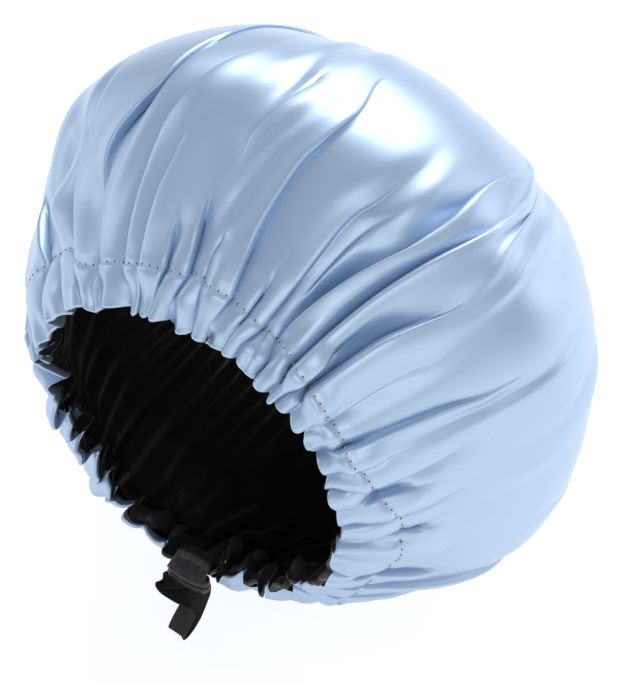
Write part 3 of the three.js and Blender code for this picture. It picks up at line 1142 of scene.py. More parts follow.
def rolled_grid(
    name: str,
    across: int,
    along: int,
    shape: Callable[[np.ndarray, np.ndarray], np.ndarray],
    material: bpy.types.Material,
    cut: Callable[[np.ndarray, np.ndarray], np.ndarray] | None = None,
) -> bpy.types.Object:
    """Rolls a flat grid into a body and welds the edges that meet.

    Args:
        name: name of the piece.
        across: faces along the grid's first side.
        along: faces along its second side.
        shape: gives the places of points from their shares of the two sides.
        material: its finish.
        cut: gives the flat place of points from their shares; the shares themselves if left out.

    Returns:
        The body, welded at its seam and wherever the points of an end meet, with its flat places as a UV
        map.
    """
    bm = bmesh.new()
    bm.loops.layers.uv.new(CUT_MAP)
    bmesh.ops.create_grid(bm, x_segments=across, y_segments=along, size=0.5, calc_uvs=True)
    mesh = bpy.data.meshes.new(name)
    bm.to_mesh(mesh)
    flat = points_of(mesh) + 0.5
    set_points(mesh, shape(flat[:, 0], flat[:, 1]))
    corners = np.zeros(len(mesh.loops), dtype=np.int64)
    mesh.loops.foreach_get("vertex_index", corners)
    places = flat[corners, :2] if cut is None else cut(flat[corners, 0], flat[corners, 1])
    mesh.uv_layers[0].data.foreach_set("uv", places.astype(np.float32).ravel())
    bm.clear()
    bm.from_mesh(mesh)
    bmesh.ops.remove_doubles(bm, verts=bm.verts[:], dist=1e-7)
    bmesh.ops.dissolve_degenerate(bm, edges=bm.edges[:], dist=1e-8)
    bmesh.ops.recalc_face_normals(bm, faces=bm.faces[:])
    bm.to_mesh(mesh)
    bm.free()
    return new_object(name, mesh, material)


class Nodes:
    """Short ways to add and link the nodes of one tree."""

    def __init__(self, tree: bpy.types.NodeTree) -> None:
        """Starts from an empty tree."""
        self.tree = tree
        tree.nodes.clear()

    def add(
        self, kind: str, links: dict | None = None, values: dict | None = None, **settings: object
    ) -> bpy.types.Node:
        """Adds a node.

        Args:
            kind: the node's type.
            links: sockets to link from, by the name or number of the input.
            values: values of unlinked inputs, by name or number.
            settings: attributes of the node.

        Returns:
            The new node.
        """
        node = self.tree.nodes.new(kind)
        for name, setting in settings.items():
            setattr(node, name, setting)
        for key, value in (values or {}).items():
            node.inputs[key].default_value = value
        for key, socket in (links or {}).items():
            self.tree.links.new(socket, node.inputs[key])
        return node

    def math(self, operation: str, *terms: bpy.types.NodeSocket | float) -> bpy.types.NodeSocket:
        """A Math node.

        Args:
            operation: what the node does.
            terms: its inputs, each a socket or a number.

        Returns:
            The socket of the result.
        """
        node = self.tree.nodes.new("ShaderNodeMath")
        node.operation = operation
        for index, term in enumerate(terms):
            if isinstance(term, bpy.types.NodeSocket):
                self.tree.links.new(term, node.inputs[index])
            else:
                node.inputs[index].default_value = term
        return node.outputs[0]

    def mix(
        self, share: bpy.types.NodeSocket, first: tuple[float, ...], second: tuple[float, ...]
    ) -> bpy.types.NodeSocket:
        """A colour between two plain ones, at the colour sockets of a Mix node."""
        values = {6: (*first, 1.0), 7: (*second, 1.0)}
        return self.add("ShaderNodeMix", {0: share}, values, data_type="RGBA").outputs[2]

    def noise(
        self, place: bpy.types.NodeSocket, scale: float, detail: float = 2.0, **values: float
    ) -> bpy.types.NodeSocket:
        """A noise over a place."""
        values = {"Scale": scale, "Detail": detail, **values}
        return self.add("ShaderNodeTexNoise", {"Vector": place}, values).outputs[0]

    def surface(self, links: dict, values: dict, height: bpy.types.NodeSocket, bump: dict) -> None:
        """Ends a material in a Principled shader.

        Args:
            links: sockets to link the shader's inputs from, by name.
            values: values of its unlinked inputs.
            height: the relief of the surface.
            bump: values of the node that shows the relief.
        """
        relief = self.add("ShaderNodeBump", {"Height": height}, bump)
        shader = self.add("ShaderNodeBsdfPrincipled", {**links, "Normal": relief.outputs[0]}, values)
        self.add("ShaderNodeOutputMaterial", {"Surface": shader.outputs[0]})


def blank_material(name: str) -> tuple[bpy.types.Material, Nodes]:
    """A material and its empty tree.

    Args:
        name: name of the material.

    Returns:
        The two.
    """
    material = bpy.data.materials.new(name)
    material.use_nodes = True
    return material, Nodes(material.node_tree)


@dataclass(frozen=True)
class SatinWeave:
    """The weave and the fine crinkles of satin, on a disc of cloth that is one unit wide."""

    name: str = "satin_weave"
    bias: float = 0.7
    floats_scale: tuple[float, float, float] = (260.0, 2400.0, 1.0)
    picks_scale: tuple[float, float, float] = (1500.0, 420.0, 1.0)
    floats_share: float = 0.6
    blotch_scale: float = 26.0
    ripple_scale: float = 60.0
    blotch_tone: float = 0.6
    weave_tone: float = 0.3
    gloss_spread: float = 0.12
    thread_height: float = 0.00003
    crinkle_height: float = 0.0010

    def group(self) -> bpy.types.NodeTree:
        """The node group that puts out a tone, a roughness and a height, made once.

        Returns:
            The group, which takes the cloth's flat place, the gloss and the crinkle.
        """
        made = bpy.data.node_groups.get(self.name)
        if made is not None:
            return made
        made = bpy.data.node_groups.new(self.name, "ShaderNodeTree")
        made.interface.new_socket("Cloth", in_out="INPUT", socket_type="NodeSocketVector")
        for name in ("Gloss", "Crinkle"):
            made.interface.new_socket(name, in_out="INPUT", socket_type="NodeSocketFloat")
        for name in ("Tone", "Roughness", "Height"):
            made.interface.new_socket(name, in_out="OUTPUT", socket_type="NodeSocketFloat")
        nodes = Nodes(made)
        inlet = nodes.add("NodeGroupInput").outputs
        cloth, gloss, crinkle = (inlet[name] for name in ("Cloth", "Gloss", "Crinkle"))
        floats = nodes.noise(self.laid(nodes, cloth, self.floats_scale), scale=1.0)
        picks = nodes.noise(self.laid(nodes, cloth, self.picks_scale), scale=1.0, detail=1.0)
        blotch = nodes.noise(cloth, self.blotch_scale, detail=3.0)
        ripple = nodes.noise(cloth, self.ripple_scale, detail=4.0, Roughness=0.55, Distortion=0.6)
        weave = nodes.math("ADD", nodes.math("MULTIPLY", floats, self.floats_share), picks)
        dye = nodes.math("MULTIPLY", blotch, self.blotch_tone)
        threads = nodes.math("MULTIPLY", weave, self.weave_tone)
        dull = nodes.math("MULTIPLY", nodes.math("SUBTRACT", blotch, 0.5), self.gloss_spread)
        fine = nodes.math("MULTIPLY", weave, self.thread_height)
        soft = nodes.math("MULTIPLY", nodes.math("MULTIPLY", ripple, crinkle), self.crinkle_height)
        results = {
            "Tone": nodes.math("ADD", dye, threads),
            "Roughness": nodes.math("ADD", gloss, dull),
            "Height": nodes.math("ADD", fine, soft),
        }
        nodes.add("NodeGroupOutput", results)
        return made

    def laid(
        self, nodes: Nodes, cloth: bpy.types.NodeSocket, scale: tuple[float, float, float]
    ) -> bpy.types.NodeSocket:
        """The flat cloth turned to the weave's direction and stretched along its threads."""
        values = {"Scale": scale, "Rotation": (0, 0, self.bias)}
        return nodes.add("ShaderNodeMapping", {"Vector": cloth}, values).outputs[0]


@dataclass(frozen=True)
class Satin:
    """A glossy satin weave."""

    name: str
    light: tuple[float, float, float]
    shade: tuple[float, float, float]
    gloss: float
    crinkle: float
    metallic: float
    sheen: float
    sheen_tint: tuple[float, float, float]
    bump: float = 0.6
    sheen_roughness: float = 0.35
    anisotropy: float = 0.35

    def build(self) -> bpy.types.Material:
        """Makes the material from the cloth's own flat coordinates.

        Returns:
            The material.
        """
        material, nodes = blank_material(self.name)
        cloth = nodes.add("ShaderNodeUVMap", uv_map=CUT_MAP)
        weave = nodes.add(
            "ShaderNodeGroup",
            {"Cloth": cloth.outputs[0]},
            {"Gloss": self.gloss, "Crinkle": self.crinkle},
            node_tree=SatinWeave().group(),
        )
        colour = nodes.mix(weave.outputs["Tone"], self.shade, self.light)
        values = {
            "Metallic": self.metallic,
            "Sheen Weight": self.sheen,
            "Sheen Roughness": self.sheen_roughness,
            "Sheen Tint": (*self.sheen_tint, 1.0),
            "Anisotropic": self.anisotropy,
        }
        links = {"Base Color": colour, "Roughness": weave.outputs["Roughness"]}
        nodes.surface(links, values, weave.outputs["Height"], {"Strength": self.bump, "Distance": 1.0})
        return material


@dataclass(frozen=True)
class Yarn:
    """Matt twisted thread."""

    name: str
    colour: tuple[float, float, float]
    twist: float = 2600.0
    dark_share: float = 0.6
    roughness: float = 0.7
    bump: float = 0.5
    fibre_height: float = 0.0001

    def build(self) -> bpy.types.Material:
        """Makes the material with a fine fibre pattern.

        Returns:
            The material.
        """
        material, nodes = blank_material(self.name)
        fibre = nodes.noise(nodes.add("ShaderNodeTexCoord").outputs["Object"], self.twist)
        dark = tuple(self.dark_share * part for part in self.colour)
        colour = nodes.mix(fibre, dark, self.colour)
        bump = {"Strength": self.bump, "Distance": self.fibre_height}
        nodes.surface({"Base Color": colour}, {"Roughness": self.roughness}, fibre, bump)
        return material


@dataclass(frozen=True)
class KnitElastic:
    """Matt black braided elastic, its yarns running along the strap, with painted sheen on the yarn crests
    and painted shade in the grooves between them.
    """

    name: str
    colour: tuple[float, float, float]
    # Colour of the yarn crests: a painted sheen against the near-black grooves
    bright: tuple[float, float, float]
    yarns_across: float = 34.0
    braids_along: float = 150.0
    slant: float = 0.5
    yarn_share: float = 0.6
    braid_share: float = 0.2
    tone_lift: float = 0.2
    fuzz_scale: float = 260.0
    roughness: float = 0.72
    specular: float = 0.2
    bump: float = 0.5
    yarn_height: float = 0.00012

    def build(self) -> bpy.types.Material:
        """Makes the material from the strap's own map, along and round it.

        Returns:
            The material.
        """
        material, nodes = blank_material(self.name)
        cloth = nodes.add("ShaderNodeUVMap", uv_map=CUT_MAP).outputs[0]
        parts = nodes.add("ShaderNodeSeparateXYZ", {0: cloth})
        along = nodes.math("MULTIPLY", parts.outputs[0], self.braids_along * math.tau)
        around = nodes.math("MULTIPLY", parts.outputs[1], 2 * self.yarns_across * math.tau)
        yarns = nodes.math("ABSOLUTE", nodes.math("SINE", around))
        braid = nodes.math("SINE", nodes.math("ADD", along, nodes.math("MULTIPLY", around, self.slant)))
        yarns = nodes.math("MULTIPLY", yarns, self.yarn_share)
        weave = nodes.math("ADD", yarns, nodes.math("MULTIPLY", braid, self.braid_share))
        fuzz = nodes.noise(cloth, self.fuzz_scale, detail=3.0)
        # Painted sheen and shade: the tone follows the weave's relief, lighter on the yarn crests and darker
        # in the grooves; the fuzz adds random tone
        tone = nodes.math("MULTIPLY", nodes.math("ADD", weave, self.tone_lift), fuzz)
        links = {"Base Color": nodes.mix(tone, self.colour, self.bright)}
        values = {"Roughness": self.roughness, "Specular IOR Level": self.specular}
        nodes.surface(links, values, weave, {"Strength": self.bump, "Distance": self.yarn_height})
        return material


@dataclass
class Finishes:
    """Every material of the bonnet, each made once."""

    pale_satin: bpy.types.Material = field(init=False)
    black_satin: bpy.types.Material = field(init=False)
    blue_thread: bpy.types.Material = field(init=False)
    white_thread: bpy.types.Material = field(init=False)
    needle_hole_shade_black: bpy.types.Material = field(init=False)
    black_elastic: bpy.types.Material = field(init=False)
    ribbed_elastic: bpy.types.Material = field(init=False)

    def __post_init__(self) -> None:
        """Builds the materials."""
        self.pale_satin = Satin(
            "pale_satin",
            light=(0.49, 0.615, 0.785),
            shade=(0.43, 0.565, 0.755),
            gloss=0.42,
            crinkle=0.10,
            metallic=0.75,
            sheen=0.04,
            sheen_tint=(0.90, 0.95, 1.0),
        ).build()
        self.black_satin = Satin(
            "black_satin",
            light=(0.026, 0.024, 0.026),
            shade=(0.014, 0.013, 0.014),
            gloss=0.33,
            crinkle=0.15,
            metallic=0.0,
            sheen=0.20,
            sheen_tint=(0.6, 0.6, 0.65),
        ).build()
        self.blue_thread = Yarn("blue_thread", (0.86, 0.92, 1.0)).build()
        self.white_thread = Yarn("white_thread", (0.75, 0.76, 0.80)).build()
        # A near-black for the grains of painted shade at the topstitching's needle holes
        self.needle_hole_shade_black = Yarn("needle_hole_shade_black", (0.03, 0.035, 0.05)).build()
        self.black_elastic = Yarn("black_elastic", (0.022, 0.020, 0.022), twist=900.0).build()
        self.ribbed_elastic = KnitElastic(
            "ribbed_elastic", colour=(0.005, 0.0045, 0.005), bright=(0.030, 0.027, 0.029)
        ).build()


@dataclass(frozen=True)
class Stitch:
    """What shows of one stitch: half its thread's thickness, and its share of the way between two holes."""

    radius: float
    share: float


SEWN = Stitch(radius=0.00030, share=0.86)
# Short grains: the lining's pale stitches, and the dark grains of painted shade at the topstitching's needle
# holes
SHORT_STITCH_AND_HOLE_SHADE = Stitch(radius=0.00045, share=0.22)


def ball(columns: int = 6, rings: int = 5) -> tuple[np.ndarray, list[list[int]]]:
    """A coarse ball of radius one, always in the same order.

    Args:
        columns: faces round it.
        rings: faces from pole to pole.

    Returns:
        Its points, one row of x, y and z each, and its faces as numbers of points.
    """
    turn = (np.arange(columns) + 0.5) * math.tau / columns
    polar = np.arange(1, rings)[:, None] * math.pi / rings
    level = np.broadcast_to(np.cos(polar), (rings - 1, columns))
    belt = np.stack([np.sin(polar) * np.cos(turn), np.sin(polar) * np.sin(turn), level], axis=2)
    points = np.concatenate([belt.reshape(-1, 3), [(0.0, 0.0, 1.0), (0.0, 0.0, -1.0)]])
    top, bottom = len(points) - 2, len(points) - 1
    faces = []
    for column in range(columns):
        here, there = column, (column + 1) % columns
        last = (rings - 2) * columns
        faces += [[top, here, there], [bottom, last + there, last + here]]
        for ring in range(0, last, columns):
            faces.append([ring + here, ring + columns + here, ring + columns + there, ring + there])
    return points, faces


def stitch_row(
    name: str,
    places: np.ndarray,
    outward: np.ndarray,
    stitch: Stitch,
    material: bpy.types.Material,
) -> bpy.types.Object:
    """A row of sewing stitches, each a small grain of thread from one needle hole towards the next.

    Args:
        name: name of the piece.
        places: the needle holes in order; the row ends at the last one.
        outward: outward direction of the cloth at each hole.
        stitch: thickness and length of each.
        material: its finish.

    Returns:
        All the stitches as one piece.
    """
    points, faces = ball()
    steps = np.diff(places, axis=0)
    side = unit(np.cross(outward[:-1], steps)) * stitch.radius
    lift = unit(np.cross(steps, side)) * stitch.radius
    middle = (places[:-1] + places[1:]) / 2 + lift / 2
    turned_grain = np.stack([side, lift, steps * (stitch.share / 2)], axis=1)
    placed = (points @ turned_grain + middle[:, None, :]).reshape(-1, 3)
    starts = range(0, len(placed), len(points))
    mesh = bpy.data.meshes.new(name)
    mesh.from_pydata(placed, [], [[start + corner for corner in face] for start in starts for face in faces])
    return new_object(name, mesh, material)


@dataclass
class Cap:
    """The cap: two layers of satin sewn together round a casing for the elastic."""

    drape: Drape
    finishes: Finishes
    disc: DiscMesh = field(default_factory=DiscMesh)
    stitch_pitch: float = 0.0039
    line_points: int = 6001
    seam_set_back: float = 0.0025
    seam_layer: Layer = Layer(
        sewn_inset=0.0009, pocket_inset=0.0009, rim_inset=ROLL_RADIUS, bulge_share=0.22
    )
    elastic_set_back: float = 0.0045
    elastic_width: float = 0.010
    elastic_thickness: float = 0.0008
    elastic_inset: float = 0.0016
    elastic_bulge_share: float = 0.20
    elastic_squareness: float = 0.3
    elastic_faces: tuple[int, int] = (520, 8)
    exit_half_turn: float = math.radians(4.0)

    @property
    def flat_width(self) -> float:
        """Width of the disc that each layer is cut to."""
        return 2.0 * self.drape.rim_run

    def sheet(self, name: str, layer: Layer, material: bpy.types.Material) -> bpy.types.Object:
        """Cuts a disc of cloth, gathers it and keeps its flat coordinates as a UV map.

        Args:
            name: name of the piece.
            layer: which layer of the cloth it is.
            material: its finish.

        Returns:
            The draped layer.
        """
        drape = self.drape
        runs = self.disc.runs(drape)
        rings = np.linspace(0.0, 1.0, len(runs))

        def gathered(turn: np.ndarray, ring: np.ndarray) -> np.ndarray:
            """Where points of the disc lie once it is gathered."""
            column = drape.column(turn % 1.0 * math.tau)
            run = self.disc.trimmed(drape, column, np.interp(ring, rings, runs), layer)
            return drape.cloth(column, run, layer)

        def flat_place(turn: np.ndarray, ring: np.ndarray) -> np.ndarray:
            """Where they lie on the flat disc, which is one unit wide."""
            run = np.interp(ring, rings, runs) / self.flat_width
            return np.stack([run * np.cos(turn * math.tau), run * np.sin(turn * math.tau)], axis=1) + 0.5

        return rolled_grid(name, self.disc.columns, len(runs) - 1, gathered, material, flat_place)

    def build_shell(self) -> bpy.types.Object:
        """The outer satin, turned in round the rim.

        Returns:
            The piece.
        """
        piece = self.sheet("satin_shell", SHELL, self.finishes.pale_satin)
        self.declare()
        return self.dress(piece, Slot.PALE_SATIN, "outer_shell")

    def build_lining(self) -> bpy.types.Object:
        """The black lining, sewn to the shell's edge.

        Returns:
            The piece.
        """
        piece = self.sheet("satin_lining", LINING, self.finishes.black_satin)
        self.declare()
        return self.dress(piece, Slot.BLACK_SATIN, "lining")

    def declare(self) -> None:
        """Reads the width of the flat disc that each layer is cut from; nothing is done with it.
        """
        width = self.flat_width

    def needle_holes(self, run: float, layer: Layer) -> tuple[np.ndarray, np.ndarray]:
        """The needle holes along a line round the cap, evenly spaced along the cloth.

        Args:
            run: run of the line.
            layer: the layer that it is sewn on.

        Returns:
            The places of the needle holes, closed into a ring, and the outward direction at each.
        """
        column = np.linspace(0.0, math.tau, self.line_points)
        line = self.drape.cloth(column, np.full_like(column, run), layer)
        length = np.concatenate([[0.0], np.cumsum(np.linalg.norm(np.diff(line, axis=0), axis=1))])
        count = round(length[-1] / self.stitch_pitch)
        marks = np.interp(np.linspace(0.0, length[-1], count + 1), length, column)
        runs = np.full_like(marks, run)
        return self.drape.cloth(marks, runs, layer), self.drape.face(marks, runs, layer)

    def dress(self, piece: bpy.types.Object, slot: Slot, *nodes: str) -> bpy.types.Object:
        """Hides the nodes that a piece replaces, if any, and puts it on the cap's body.

        Args:
            piece: the piece.
            slot: its material slot; not used.
            nodes: names of the nodes that it replaces, if any.

        Returns:
            The piece.
        """
        if nodes:
            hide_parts(*nodes)
        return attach(piece, Body.CAP.value)

    def build_topstitch(self) -> bpy.types.Object:
        """The pale thread that closes the casing.

        Returns:
            The piece.
        """
        holes, out = self.needle_holes(self.drape.stitch_run, SHELL)
        piece = stitch_row("topstitches", holes, out, SEWN, self.finishes.blue_thread)
        return self.dress(piece, Slot.BLUE_THREAD, "topstitch_thread")

    def build_needle_hole_shade_grains(self) -> bpy.types.Object:
        """Painted shade: short dark grains at each needle hole of the topstitching, standing for the shade
        in the holes.

        Returns:
            The piece.
        """
        holes, out = self.needle_holes(self.drape.stitch_run, SHELL)
        piece = stitch_row("needle_hole_shade_grains", holes, out, SHORT_STITCH_AND_HOLE_SHADE, self.finishes.needle_hole_shade_black)
        return self.dress(piece, Slot.BLACK_ELASTIC)

    def build_lining_stitches(self) -> bpy.types.Object:
        """The grains of pale thread that show on the lining.

        Returns:
            The piece.
        """
        holes, out = self.needle_holes(self.drape.stitch_run, LINING)
        piece = stitch_row("lining_stitches", holes, -out, SHORT_STITCH_AND_HOLE_SHADE, self.finishes.white_thread)
        return self.dress(piece, Slot.WHITE_THREAD, "lining_stitch_thread")

    def build_rim_seam(self) -> bpy.types.Object:
        """The seam between shell and lining, hidden inside the rim.

        Returns:
            The piece.
        """
        holes, out = self.needle_holes(self.drape.rim_run - self.seam_set_back, self.seam_layer)
        piece = stitch_row("rim_seam", holes, out, SEWN, self.finishes.white_thread)
        return self.dress(piece, Slot.WHITE_THREAD, "rim_seam_thread")

    def elastic_place(self, along: np.ndarray, around: np.ndarray) -> np.ndarray:
        """Places on the band in the casing from shares along and round it.

        Args:
            along: shares of the way along it.
            around: shares of the way round it.

        Returns:
            One row of x, y and z for each point.
        """
        open_turn = math.tau - 2 * self.exit_half_turn
        column = (along * open_turn + self.exit_half_turn - math.pi / 2) % math.tau
        way = around * math.tau
        inner = self.drape.rim_run - self.elastic_set_back - self.elastic_width
        run = inner + self.elastic_width * (0.5 - 0.5 * np.cos(way))
        square = np.abs(np.sin(way)) ** self.elastic_squareness
        lift = self.elastic_thickness / 2 * np.sign(np.sin(way)) * square
        outward = self.drape.form.frame(column, run)[1]
        band = Layer(pocket_inset=self.elastic_inset, bulge_share=self.elastic_bulge_share)
        return self.drape.cloth(column, run, band) + outward * lift[:, None]

    def build_elastic(self) -> bpy.types.Object:
        """The flat elastic inside the casing, open at the nape where its ends leave.

        Returns:
            The piece.
        """
        finish = self.finishes.black_elastic
        piece = rolled_grid("casing_elastic_band", *self.elastic_faces, self.elastic_place, finish)
        return self.dress(piece, Slot.BLACK_ELASTIC, "casing_elastic")


@dataclass
class Tail:
    """The tail at the nape: the gathered sleeve and the elastic that comes out of it as a pull loop."""

    finishes: Finishes
    axis_y: float = -0.0890
    axis_z: float = 0.0446
    strap_width: float = 0.0100
    strap_thickness: float = 0.0013
    ribs: int = 8
    rib_depth: float = 0.00030
    rib_power: float = 0.7
    strap_edge_share: float = 0.06
    strap_points: int = 400
    strap_faces: tuple[int, int] = (180, 96)
    loop_blend: tuple[float, float] = (0.008, 0.024)
    sleeve_half_width: float = 0.0098
    sleeve_squareness: float = 2.6
    sleeve_points: int = 240
    sleeve_faces: tuple[int, int] = (130, 150)
    sleeve_blend: tuple[float, float] = (0.010, 0.003)
    gathers: int = 11
    gather_depth: float = 0.0010
    gather_power: float = 0.7
    face_gather_share: float = 0.7
    gather_waves: tuple[tuple[int, float, float, float], ...] = ((3, 5.0, 0.0, 0.5), (5, 0.0, 1.3, 0.3))
    mouth_slant: float = 0.03
    hem_thickness: float = 0.0031
    hem_roll: float = 0.0016

    def strap_line(self) -> tuple[np.ndarray, np.ndarray]:
        """Middle line of the strap and the direction across its width, from the swing axis.

        Returns:
            The points of the line, and the direction at each.
        """
        middle = np.array(
            [
                (0.0000, 0.0000, 0.0085),
                (-0.0020, -0.0008, 0.0035),
                (-0.0065, -0.0040, 0.0022),
                (-0.0104, -0.0060, 0.0016),
                (-0.0076, -0.0066, -0.0002),
                (-0.0020, -0.0068, -0.0008),
                (0.0028, -0.0068, -0.0014),
                (0.0048, -0.0070, -0.0044),
                (0.0038, -0.0074, -0.0092),
                (0.0014, -0.0076, -0.0164),
                (-0.0014, -0.0074, -0.0242),
                (-0.0034, -0.0068, -0.0300),
                (-0.0037, -0.0058, -0.0317),
                (-0.0024, -0.0046, -0.0296),
                (0.0016, -0.0028, -0.0200),
                (0.0050, -0.0010, -0.0100),
                (0.0062, 0.0000, -0.0020),
                (0.0048, 0.0006, 0.0080),
            ]
        )
        across = np.array(
            [
                (1.0, 0.00, 0.00),
                (0.9, -0.40, -0.20),
                (0.4, -0.90, -0.10),
                (0.1, -1.00, 0.00),
                (0.0, -1.00, -0.10),
                (0.0, -1.00, -0.15),
                (0.3, -0.95, -0.15),
                (0.8, -0.60, -0.05),
                (1.0, -0.20, 0.00),
                (1.0, -0.10, -0.05),
                (1.0, -0.10, -0.05),
                (1.0, -0.10, -0.05),
                (1.0, -0.05, -0.05),
                (1.0, 0.10, -0.05),
                (0.8, 0.50, -0.10),
                (0.5, 0.80, -0.15),
                (0.6, 0.70, -0.10),
                (1.0, 0.20, 0.00),
            ]
        )
        return middle + np.array([0.0, self.axis_y, self.axis_z]), across

    def strap_place(self, along: np.ndarray, around: np.ndarray) -> np.ndarray:
        """Places on the ribbed strap from shares along and round it.

        Args:
            along: shares of the way along it.
            around: shares of the way round it.

        Returns:
            One row of x, y and z for each point.
        """
        middle, across = self.strap_line()
        dense, wide = (smooth_path(line, self.strap_points) for line in (middle, across))
        ahead = unit(np.gradient(dense, axis=0))
        wide = unit(wide - ahead * np.sum(wide * ahead, axis=1, keepdims=True))
        thick = np.cross(ahead, wide)
        marks = np.linspace(0.0, 1.0, self.strap_points)
        here, side, up = (
            np.stack([np.interp(along, marks, line[:, axis]) for axis in range(3)], axis=1)
            for line in (dense, wide, thick)
        )
        face = np.where(around < 0.5, 1.0, -1.0)
        across_share = np.where(around < 0.5, 1.0 - 4.0 * around, 4.0 * around - 3.0)
        rib = np.abs(np.sin(self.ribs * math.pi * (across_share + 1.0) / 2.0)) ** self.rib_power
        edge = np.sqrt(np.clip((1.0 - np.abs(across_share)) / self.strap_edge_share, 0.0, 1.0))
        half = (self.strap_thickness / 2 - self.rib_depth + self.rib_depth * rib) * edge
        offset = across_share * self.strap_width / 2
        return here + side * offset[:, None] + up * (face * half)[:, None]

    def build_strap(self) -> bpy.types.Object:
        """The pull loop: the elastic out of the sleeve, round a bight and back in.

        Returns:
            The piece.
        """
        finish = self.finishes.ribbed_elastic
        piece = rolled_grid("elastic_loop", *self.strap_faces, self.strap_place, finish)
        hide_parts("elastic_leg_front", "elastic_leg_back", "pull_loop")
        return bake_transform(piece)

    def sleeve_stations(self) -> np.ndarray:
        """Sections of the sleeve from its root over the rim to the mouth and back up inside.

        Returns:
            Rows of y and z from the swing axis, half thickness, half width beyond the sleeve's own,
            how much the gathers show, and how far the section leans back from level, in radians.
        """
        roll, hem = self.hem_roll, self.hem_thickness
        return np.array(
            [
                (0.0115, 0.0118, 0.0004, -0.0050, 0.2, 1.50),
                (0.0090, 0.0130, 0.0010, -0.0022, 0.5, 1.40),
                (0.0048, 0.0128, 0.0019, -0.0006, 0.9, 1.00),
                (0.0016, 0.0112, 0.0027, -0.0002, 1.0, 0.50),
                (0.0000, 0.0092, hem, 0.0000, 0.8, 0.10),
                (0.0000, 0.0083, hem + 0.7 * roll, 0.7 * roll, 0.6, 0.00),
                (0.0000, 0.0070, hem + roll, roll, 0.5, 0.00),
                (0.0000, 0.0057, hem + 0.8 * roll, 0.8 * roll, 0.5, 0.00),
                (0.0000, 0.0050, hem + 0.1 * roll, 0.1 * roll, 0.5, 0.00),
                (0.0000, 0.0043, hem + 0.8 * roll, 0.8 * roll, 0.5, 0.00),
                (0.0000, 0.0030, hem + roll, roll, 0.5, 0.00),
                (0.0000, 0.0017, hem + 0.7 * roll, 0.7 * roll, 0.4, 0.00),
                (0.0000, 0.0010, hem, -0.0004, 0.3, 0.00),
                (0.0000, 0.0018, 0.0024, -0.0016, 0.2, 0.00),
                (0.0000, 0.0060, 0.0022, -0.0022, 0.0, 0.00),
                (0.0000, 0.0105, 0.0020, -0.0024, 0.0, 0.00),
            ]
        )

    def sleeve_place(self, along: np.ndarray, around: np.ndarray) -> np.ndarray:
        """Places on the sleeve from shares along and round it.

        Args:
            along: shares of the way along it.
            around: shares of the way round it.

        Returns:
            One row of x, y and z for each point.
        """
        marks = np.linspace(0.0, 1.0, self.sleeve_points)
        dense = smooth_path(self.sleeve_stations(), self.sleeve_points)
        y, z, thick, wide, gather, lean = (np.interp(along, marks, line) for line in dense.T)
        turn = around * math.tau
        wander = sum(
            size * np.sin(waves * turn + climb * along + phase)
            for waves, climb, phase, size in self.gather_waves
        )
        gathered = np.abs(np.sin(self.gathers * turn / 2 + wander)) ** self.gather_power
        fold = self.gather_depth * gather * gathered
        squash = 2.0 / self.sleeve_squareness
        cos, sin = np.cos(turn), np.sin(turn)
        x = (self.sleeve_half_width + wide - fold) * np.sign(cos) * np.abs(cos) ** squash
        depth = (thick - fold * self.face_gather_share) * np.sign(sin) * np.abs(sin) ** squash
        return np.stack(
            [
                x,
                self.axis_y + y + depth * np.cos(lean),
                self.axis_z + z - self.mouth_slant * x + depth * np.sin(lean),
            ],
            axis=1,
        )

    def build_sleeve(self) -> bpy.types.Object:
        """The bunched lining satin that the elastic leaves the casing through, with a double-rolled hem.

        Returns:
            The piece.
        """
        piece = rolled_grid("nape_sleeve", *self.sleeve_faces, self.sleeve_place, self.finishes.black_satin)
        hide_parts("exit_sleeve")
        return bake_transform(piece)


@dataclass(frozen=True)
class SoftBox:
    """A soft box, bright in its middle and fading towards its edge."""

    name: str
    offset: tuple[float, float, float]
    width: float
    height: float
    brightness: float
    colour: tuple[float, float, float] = (1.0, 0.96, 0.91)
    shares: tuple[float, ...] = (1.0, 0.76, 0.5)
    nesting: float = 0.06


LAMPS = (
    SoftBox("key_box", (-0.10, 0.94, 1.16), 2.10, 1.40, 4.5),
    SoftBox("left_box", (-1.38, -0.45, 0.56), 0.36, 1.20, 2.8),
    SoftBox("right_box", (1.10, 1.15, 0.40), 1.05, 0.95, 2.0),
    SoftBox("front_box", (0.95, -1.10, 0.75), 1.40, 1.20, 1.8),
    SoftBox("low_box", (-0.40, -1.70, 0.30), 1.00, 0.40, 0.8),
)


def background_rays(nodes: Nodes) -> bpy.types.NodeSocket:
    """One for the rays that see the white background: from the camera, off gloss and through glass.

    Args:
        nodes: the tree that it is for.

    Returns:
        The socket with the one or nought.
    """
    rays = nodes.add("ShaderNodeLightPath").outputs
    straight_or_gloss = nodes.math("MAXIMUM", rays["Is Camera Ray"], rays["Is Glossy Ray"])
    return nodes.math("MAXIMUM", straight_or_gloss, rays["Is Transmission Ray"])


